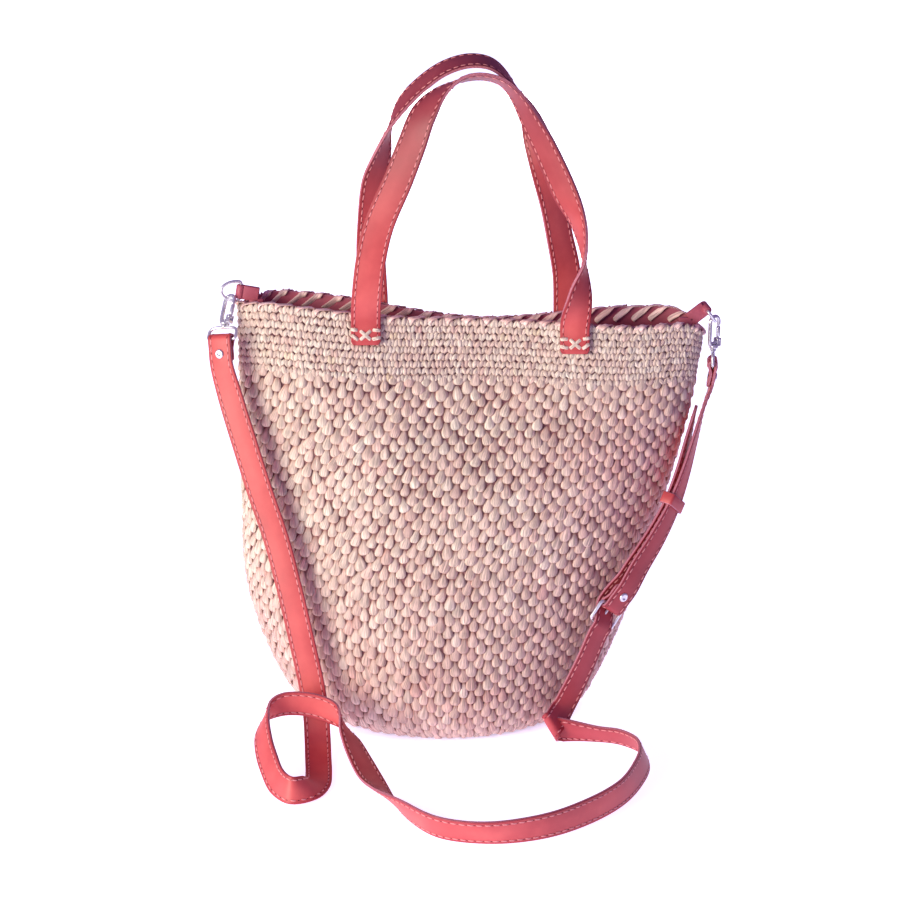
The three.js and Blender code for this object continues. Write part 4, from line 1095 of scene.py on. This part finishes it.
def seams(shape, frames, size, start, end):
    rows = np.array(STITCH_ROWS) * vec(1, 1, SEAM.height, SEAM.height)
    thread, hole = drop(rows, SEAM.around), drop(HOLE_ROWS, SEAM.around)
    sewn_length = along_lengths(frames["at"])[-1] - start - end
    count = int(sewn_length / SEAM.pitch)
    pitch = sewn_length / count
    spots = start + (np.arange(count) + 0.5) * pitch
    threads, holes = at_lengths(frames, spots), at_lengths(frames, spots + pitch / 2)
    for side in (-1, 1):
        for face in (-1, 1):
            for got, form, long, wide, sink, kind in (
                (threads, thread, SEAM.length, 2 * SEAM.width, SEAM.sunk - 0.1, 0),
                (holes, hole, SEAM.hole, SEAM.hole, SEAM.sunk + 0.12, 1),
            ):
                across, out = got["across"], got["out"] * face
                reach = side * got["half"] * (1 - 2 * SEAM.from_edge / size.width)
                at = got["at"] + across * reach[:, None] + out * (size.thickness / 2 - sink)
                tone, tilt = rng.uniform(*SEAM.tone, count), rng.normal(*SEAM.tilt, count)
                stitch_across, up = across * wide / 2, got["along"] * long * face
                stamp(shape, form, at, stitch_across, up, out, tone, tilt, kind=kind)


def sewn(name, frames, size, round_start, round_end, seam_start, seam_end):
    shape = Shape()
    strap_shape(shape, frames, size, round_start, round_end)
    build(f"{name}_leather", shape, [CORAL, EDGE], "leather", name)
    shape = Shape()
    seams(shape, frames, size, seam_start, seam_end)
    build(f"{name}_thread", shape, [THREAD, HOLE_SHADE], "leather")


# Raffia that sews a handle's foot to the wall: x across, y up from the foot's end
CROSS = [
    [(-5.2, 4.2), (4.4, 12.6)], [(-5.2, 12.6), (4.4, 4.2)], [(5.2, 5), (12.2, 6.4)],
    [(-12.2, 8.6), (-6.4, 4.4)], [(5.6, 12.8), (12.0, 12.2)], [(-12.2, 13.4), (-7, 12.6)],
]


def foot_stitches(shape, frames, at_start, outward):
    length = along_lengths(frames["at"])[-1]
    share = np.linspace(0, 1, FOOT_STRAND.steps)
    lift = HANDLE.thickness / 2 - FOOT_STRAND.sunk + FOOT_STRAND.arch * np.sin(np.pi * share) ** 0.5
    for start, end in CROSS:
        x, y = (a + (b - a) * share for a, b in zip(start, end))
        got = at_lengths(frames, y if at_start else length - y)
        out = got["out"] * np.sign(np.sum(got["out"] * outward, 1))[:, None]
        points = got["at"] + got["across"] * x[:, None] + out * lift[:, None]
        uv = strand_uv(share * 2) + rng.uniform(0, STRAND_UV_SPREAD, 2)
        sweep(shape, points, out, FOOT_STRAND.half_width, FOOT_STRAND.half_thickness, STRAND_SIDES,
              rounded=False, tone=rng.uniform(*FOOT_STRAND.tone), uv=uv)


def handles():
    for name, handle in (("handle_front", FRONT_HANDLE), ("handle_back", BACK_HANDLE)):
        frames = strap_frames(handle_route(handle), HANDLE.width, FINE_STEP)
        sewn(name, frames, HANDLE, HANDLE.corner, HANDLE.corner, HANDLE.seam_from, HANDLE.seam_from)
        shape = Shape()
        for at_start in (True, False):
            foot_stitches(shape, frames, at_start, vec(0, handle.side, 0))
        build(f"{name}_raffia", shape, [STRAND], "raffia")


def shoulder_strap():
    for name, line, tip in (("strap_long", long_line, STRAP.tip), ("strap_short", short_line, STRAP.corner)):
        frames = strap_frames(line, STRAP.width, FINE_STEP)
        sewn(name, frames, STRAP, STRAP.corner, tip, STRAP.corner, tip)


def rounded_outline(half_wide, half_tall, corner, steps):
    parts = []
    for sx, sy, start in ((1, 1, 0), (-1, 1, 90), (-1, -1, 180), (1, -1, 270)):
        turn = np.radians(np.linspace(start, start + 90, steps))
        centre = vec(sx * (half_wide - corner), sy * (half_tall - corner))
        parts.append(centre + corner * np.stack([np.cos(turn), np.sin(turn)], -1))
    return np.concatenate(parts)


def keeper():
    at, across, along, out = short_at(KEEPER.up)
    spot = place(at - out * KEEPER.behind / 2, across, along)
    half, t, round_off = KEEPER.length / 2, KEEPER.thickness / 2, 0.5
    half_width = STRAP.width / 2 + KEEPER.slack + t
    half_depth = (STRAP.thickness + KEEPER.behind) / 2 + KEEPER.slack + t
    points = np.pad(rounded_outline(half_width, half_depth, KEEPER.corner, 5), ((0, 0), (0, 1)))
    outs = np.cross(unit(np.roll(points, -1, 0) - np.roll(points, 1, 0)), vec(0, 0, 1))
    quarter = [(half, -0.5 * t), (half, 0.5 * t), (half - round_off, t), (-half + round_off, t)]
    profile = quarter + [(-x, -y) for x, y in quarter]
    rings = np.stack([points + outs * y + vec(0, 0, x) for x, y in profile], 1)
    shape = Shape()
    loft(shape, moved(spot, rings), True, kind=[1, 1, 0, 1])
    build("keeper_leather", shape, [CORAL, EDGE], "leather", "strap_keeper")


# Metal
def arc(x, z, wide, tall, start, end, steps):
    turn = np.radians(np.linspace(start, end, steps))
    return np.stack([x + wide * np.cos(turn), np.zeros(steps), z + tall * np.sin(turn)], -1)


def bend(a, b, c, steps):
    t = np.linspace(0, 1, steps)[:, None]
    a, b, c = (vec(p[0], 0, p[1]) for p in (a, b, c))
    return a * (1 - t) ** 2 + 2 * b * t * (1 - t) + c * t**2


def chain(*parts):
    points = np.concatenate(parts)
    step = np.linalg.norm(points - np.roll(points, -1, 0), axis=1)
    return points[step > 0.05]


def rod(shape, matrix, start, end, radius, sides=16):
    start, end = vec(*start), vec(*end)
    along = unit(end - start)
    normal = vec(0, 1, 0) if abs(along[1]) < 0.9 else vec(1, 0, 0)
    bevel = 0.25 * radius
    points = [start, start + along * bevel, end - along * bevel, end]
    wide = np.array([radius - bevel, radius, radius, radius - bevel])
    sweep(shape, moved(matrix, points), matrix[:3, :3] @ normal, wide, wide, sides, rounded=False)


def upright(*at):
    return place(at, (1, 0, 0), (0, 0, 1))


def metal(name, shape, node, body="bag"):
    build(f"{name}_metal", shape, [NICKEL], "nickel", node, body=body)


def d_ring(name, spot):
    half, depth, corner = RING.half_bar, RING.depth, RING.corner
    points = chain(
        arc(corner, half - corner, corner, corner, 180, 90, 7),
        arc(corner, 0, depth - corner, half, 90, -90, 33),
        arc(corner, corner - half, corner, corner, -90, -180, 7),
    )
    shape = Shape()
    sweep(shape, moved(spot.ring, points), spot.ring[:3, 1], RING.wire, RING.wire, WIRE_SIDES, True)
    metal(f"ring_{name}", shape, f"d_ring_{name}")


def hook_eye(name, eye):
    top, low, half, half_top = -EYE.play - EYE.collar, -EYE.drop, EYE.half_bar, EYE.half_top
    shoulder, corner = low + EYE.shoulder, low + EYE.corner
    points = chain(
        bend((half_top, top), (half, top), (half, shoulder), 14),
        bend((half, corner), (half, low), (half - EYE.corner, low), 8),
        bend((EYE.corner - half, low), (-half, low), (-half, corner), 8),
        bend((-half, shoulder), (-half, top), (-half_top, top), 14),
    )
    shape = Shape()
    sweep(shape, moved(eye, points), -eye[:3, 1], WIRE, WIRE, WIRE_SIDES, True)
    head, post, under, over = EYE.head, EYE.post, -EYE.play, HOOK.base + EYE.play
    lathe(shape, eye, [
        (0.3, top - 1.2), (head - 0.4, top - 0.6), (head, top + 0.2), (head, under - 0.3),
        (head - 0.3, under), (post, under), (post, over), (head - 0.2, over), (head, over + 0.3),
        (head - 0.3, over + 1), (head - 1.4, over + EYE.head_height), (0.2, over + EYE.head_height),
    ])
    metal(f"eye_{name}", shape, f"hook_eye_{name}")


def hook_body(name, hook):
    b, high, base, radius = HOOK.bend, HOOK.bend_height, HOOK.base, HOOK.base_radius
    spine = chain(
        bend((-2.6, base - 1.2), (-b, base), (-b, HOOK.spine_rise), 9),
        bend((-b, HOOK.spine_rise + 1), (-b, high / 2 + 4), (-b, high - 1), 6),
        arc(0, high, b, b, 180, 0, 25),
        bend((b, high - 0.6), (b, high - 1.2), (b, high - HOOK.nose), 4),
    )
    run = np.linspace(0, 1, len(spine))
    wide = HOOK.wire * np.interp(run, [0, 0.15, 0.5, 0.9, 1], [1.25, 1, 1, 0.95, 0.8])
    shape = Shape()
    sweep(shape, moved(hook, spine), hook[:3, 1], wide, HOOK.flat, 16)
    bore = EYE.post + CLEARANCE
    lathe(shape, hook, [
        (bore, 0.2), (radius - 0.6, 0), (radius - 0.15, 0.25), (radius, 0.8), (radius, base - 0.9),
        (radius - 0.3, base - 0.3), (radius - 1, base), (bore, base - 0.1), (bore, 0.2),
    ], capped=False)
    gap, pivot = GATE.length / 2 + CLEARANCE, GATE.pivot
    for turn in (-1, 1):
        ear = hook @ upright(b - 0.6, turn * (gap + 0.5), (base - 1.4 + pivot + 1.6) / 2)
        rounded_block(shape, ear, (EAR.width, EAR.thickness, pivot + 3 - base), EAR.bevel)
        rod(shape, hook, (b, turn * (gap + 0.6), pivot), (b, turn * (gap + 1.5), pivot), EAR.pin)
    seat = hook @ upright(b - 1, 0, base - 1.2)
    rounded_block(shape, seat, (SEAT.width, 2 * (gap + 1), SEAT.height), SEAT.bevel)
    rod(shape, hook, (b, -gap - 0.5, pivot), (b, gap + 0.5, pivot), GATE.pin)
    metal(f"hook_{name}", shape, f"hook_body_{name}", f"hook_{name}")


def hook_gate(name, hook):
    b, pivot, half, wire, wide = HOOK.bend, GATE.pivot, GATE.length / 2, GATE.wire, GATE.sleeve
    tip = HOOK.bend_height - HOOK.nose - GATE.tip_gap
    sleeve = pivot + GATE.sleeve_rise
    shape = Shape()
    rod(shape, hook, (b, -half, pivot), (b, half, pivot), GATE.barrel, 20)
    lathe(shape, hook @ upright(b, 0, 0), [
        (0.2, pivot), (wire, pivot), (wire, sleeve), (wide - 0.3, sleeve + 0.2), (wide, sleeve + 0.6),
        (wide, tip - 1.6), (wide - 0.3, tip - 1.1), (wire, tip - 0.9), (wire - 0.2, tip), (0.2, tip),
    ])
    metal(f"gate_{name}", shape, f"hook_gate_{name}", f"gate_{name}")


def ring_tab(name, side):
    out, bar = unit(side.tab_out), vec(*side.bar)
    loop = place(bar - out * TAB.reach / 2, vec(-out[2], 0, out[0]), out)
    half = unit(side.bar_axis) * TAB.width / 2
    shape = Shape()
    rounded_block(shape, loop, (TAB.width, TAB.plies, TAB.reach), TAB.bevel)
    rounded_block(shape, upright(*side.patch), (TAB.patch_width, TAB.plies, TAB.patch_height), TAB.bevel)
    rod(shape, np.eye(4), bar - half, bar + half, TAB.eye, 24)
    build(f"tab_{name}_leather", shape, [CORAL_IN_SHADE], "leather", f"ring_tab_{name}")


def hooks():
    for name, spot in hang.items():
        d_ring(name, spot)
        hook_eye(name, spot.eye)
        hook_body(name, spot.hook)
        hook_gate(name, spot.hook)
        ring_tab(name, SIDES[name])


def rivets():
    half = STRAP.thickness + 2 * CLEARANCE
    head, dome, shank = RIVET.head, half + RIVET.dome, RIVET.shank
    front = [
        (head - 0.05, half + 0.3), (head - 0.35, half + 0.8), (head - 0.9, half + 1.15), (head - 1.5, dome),
        (head - 2.1, dome - 0.15), (head - 2.5, half + 0.7), (head - 2.8, half + 0.35), (0.2, half + 0.3),
    ]
    turn = np.radians(np.linspace(84, 4, 9))
    back = [(head * math.cos(a), -half - RIVET.back * math.sin(a)) for a in turn]
    profile = back + [(head, -half), (shank, -half), (shank, half), (head, half)] + front
    for name, wrap in (("left", left_wrap), ("right", right_wrap), ("buckle", buckle_wrap)):
        at = wrap.bar + wrap.run * RIVET.from_bar + wrap.face * (WRAP_RADIUS - PLY_PITCH / 2)
        shape = Shape()
        lathe(shape, place(at, wrap.side, wrap.face), profile)
        metal(f"rivet_{name}", shape, f"rivet_{name}")


def buckle_metal():
    length = BUCKLE.length
    x, z = rounded_outline(BUCKLE.half_width, length / 2, BUCKLE.corner, 7)[::-1].T
    points = np.stack([x, np.zeros(len(x)), z - length / 2], -1)
    shape = Shape()
    sweep(shape, moved(buckle, points), buckle[:3, 1], WIRE, WIRE, WIRE_SIDES, True)
    metal("buckle", shape, "buckle_frame")
    shape = Shape()
    way = -np.sign(np.dot(buckle[:3, 1], buckle_wrap.face))
    behind = way * (WIRE + CLEARANCE + PRONG.radius + PRONG.slack)
    half = PRONG.ring_width / 2
    rod(shape, buckle, (-half, 0, 0), (half, 0, 0), PRONG.ring, 20)
    rod(shape, buckle, (0, behind / 2, -PRONG.root_drop), (0, behind, -length - PRONG.beyond), PRONG.radius)
    metal("prong", shape, "buckle_prong")


wall_shell()
puffs()
fine_band()
base_rounds()
binding()
whipping()
handles()
shoulder_strap()
keeper()
hooks()
rivets()
buckle_metal()

# Floor, light and camera, in metres
FLOOR_REACH = 30
PAPER = Named(front=-0.57, half_width=0.62, widening=0.2, glow_reach=(0.4, 1.6), glow=(0.84, 1.05), shade=0.7,
              shade_reach=(0.95, 1.25), colour=(0.84, 0.82, 0.84, 1), glow_colour=(1.0, 0.97, 1.3, 1))
WORLD = Named(colour=(0.58, 0.36, 1.0, 1), strength=0.32)
CAMERA = Named(at=(0, -1.9176, 0.7959), tilt=73.5, sensor=36, focal_pixels=2325.6, picture_pixels=900,
               right_pixels=4)


# Brighter away from the bag, with a soft shade round its base
def floor_look():
    look = Look("floor")
    glow = look.range(look.length(look.place()), *PAPER.glow_reach, *PAPER.glow)
    half = np.abs(skin(np.linspace(0, 1, 200), 0.0)).max(0) * MM
    beside = look.length(look.stretched(look.place(), (1 / half[0], 1 / half[1], 0)))
    shade = look.range(beside, *PAPER.shade_reach, PAPER.shade, 0.0)
    return look.set(Base_Color=PAPER.colour, Roughness=0.9, Emission_Color=PAPER.glow_colour,
                    Emission_Strength=look.math("SUBTRACT", glow, shade))


# The paper under and behind the bag lights it from below, the floor round the paper is only seen
def floor():
    r, front = FLOOR_REACH, PAPER.front
    ends = ((-1, front), (1, front), (1, r), (-1, r))
    paper = [(x * (PAPER.half_width + PAPER.widening * y), y, 0) for x, y in ends]
    outer = [(-r, -r, 0), (r, -r, 0), (r, r, 0), (-r, r, 0)]
    look = floor_look()
    for name, faces in (("paper", [(0, 1, 2, 3)]), ("floor", [(4, 5, 1, 0), (5, 6, 2, 1), (7, 4, 0, 3)])):
        mesh = bpy.data.meshes.new(name)
        mesh.from_pydata(paper + outer, [], faces)
        mesh.materials.append(look)
        obj = show(name, mesh)
    lit = bpy.data.collections.new("floor_only")
    lit.objects.link(obj)
    obj.light_linking.receiver_collection = lit


def area_light(name, at, towards, size, watts, colour, mirrored=True):
    data = bpy.data.lights.new(name, "AREA")
    data.shape = "DISK"
    data.size = size
    data.energy = watts
    data.color = colour
    obj = show(name, data)
    back = unit(vec(*at) - vec(*towards))
    obj.matrix_world = Matrix(place(at, np.cross((0, 0, 1), back), back).tolist())
    obj.visible_glossy = mirrored


def studio():
    world = bpy.data.worlds.new("studio")
    bpy.context.scene.world = world
    world.use_nodes = True
    background = world.node_tree.nodes["Background"]
    background.inputs["Color"].default_value = WORLD.colour
    background.inputs["Strength"].default_value = WORLD.strength
    area_light("key", at=(-1.38, -1.3, 0.58), towards=(0, 0, 0.3), size=1.2, watts=41,
               colour=(1.0, 0.95, 0.81))
    area_light("back", at=(0.9, 3.7, 0.6), towards=(0, 0, 0.25), size=2.4, watts=115,
               colour=(1.0, 0.94, 0.88), mirrored=False)
    bpy.context.scene.view_settings.view_transform = "Standard"


def camera():
    data = bpy.data.cameras.new("camera")
    data.sensor_width = CAMERA.sensor
    data.lens = CAMERA.sensor * CAMERA.focal_pixels / CAMERA.picture_pixels
    data.shift_x = CAMERA.right_pixels / CAMERA.picture_pixels
    obj = show("camera", data)
    obj.location = CAMERA.at
    obj.rotation_euler = (math.radians(CAMERA.tilt), 0, 0)
    bpy.context.scene.camera = obj


floor()
studio()
camera()
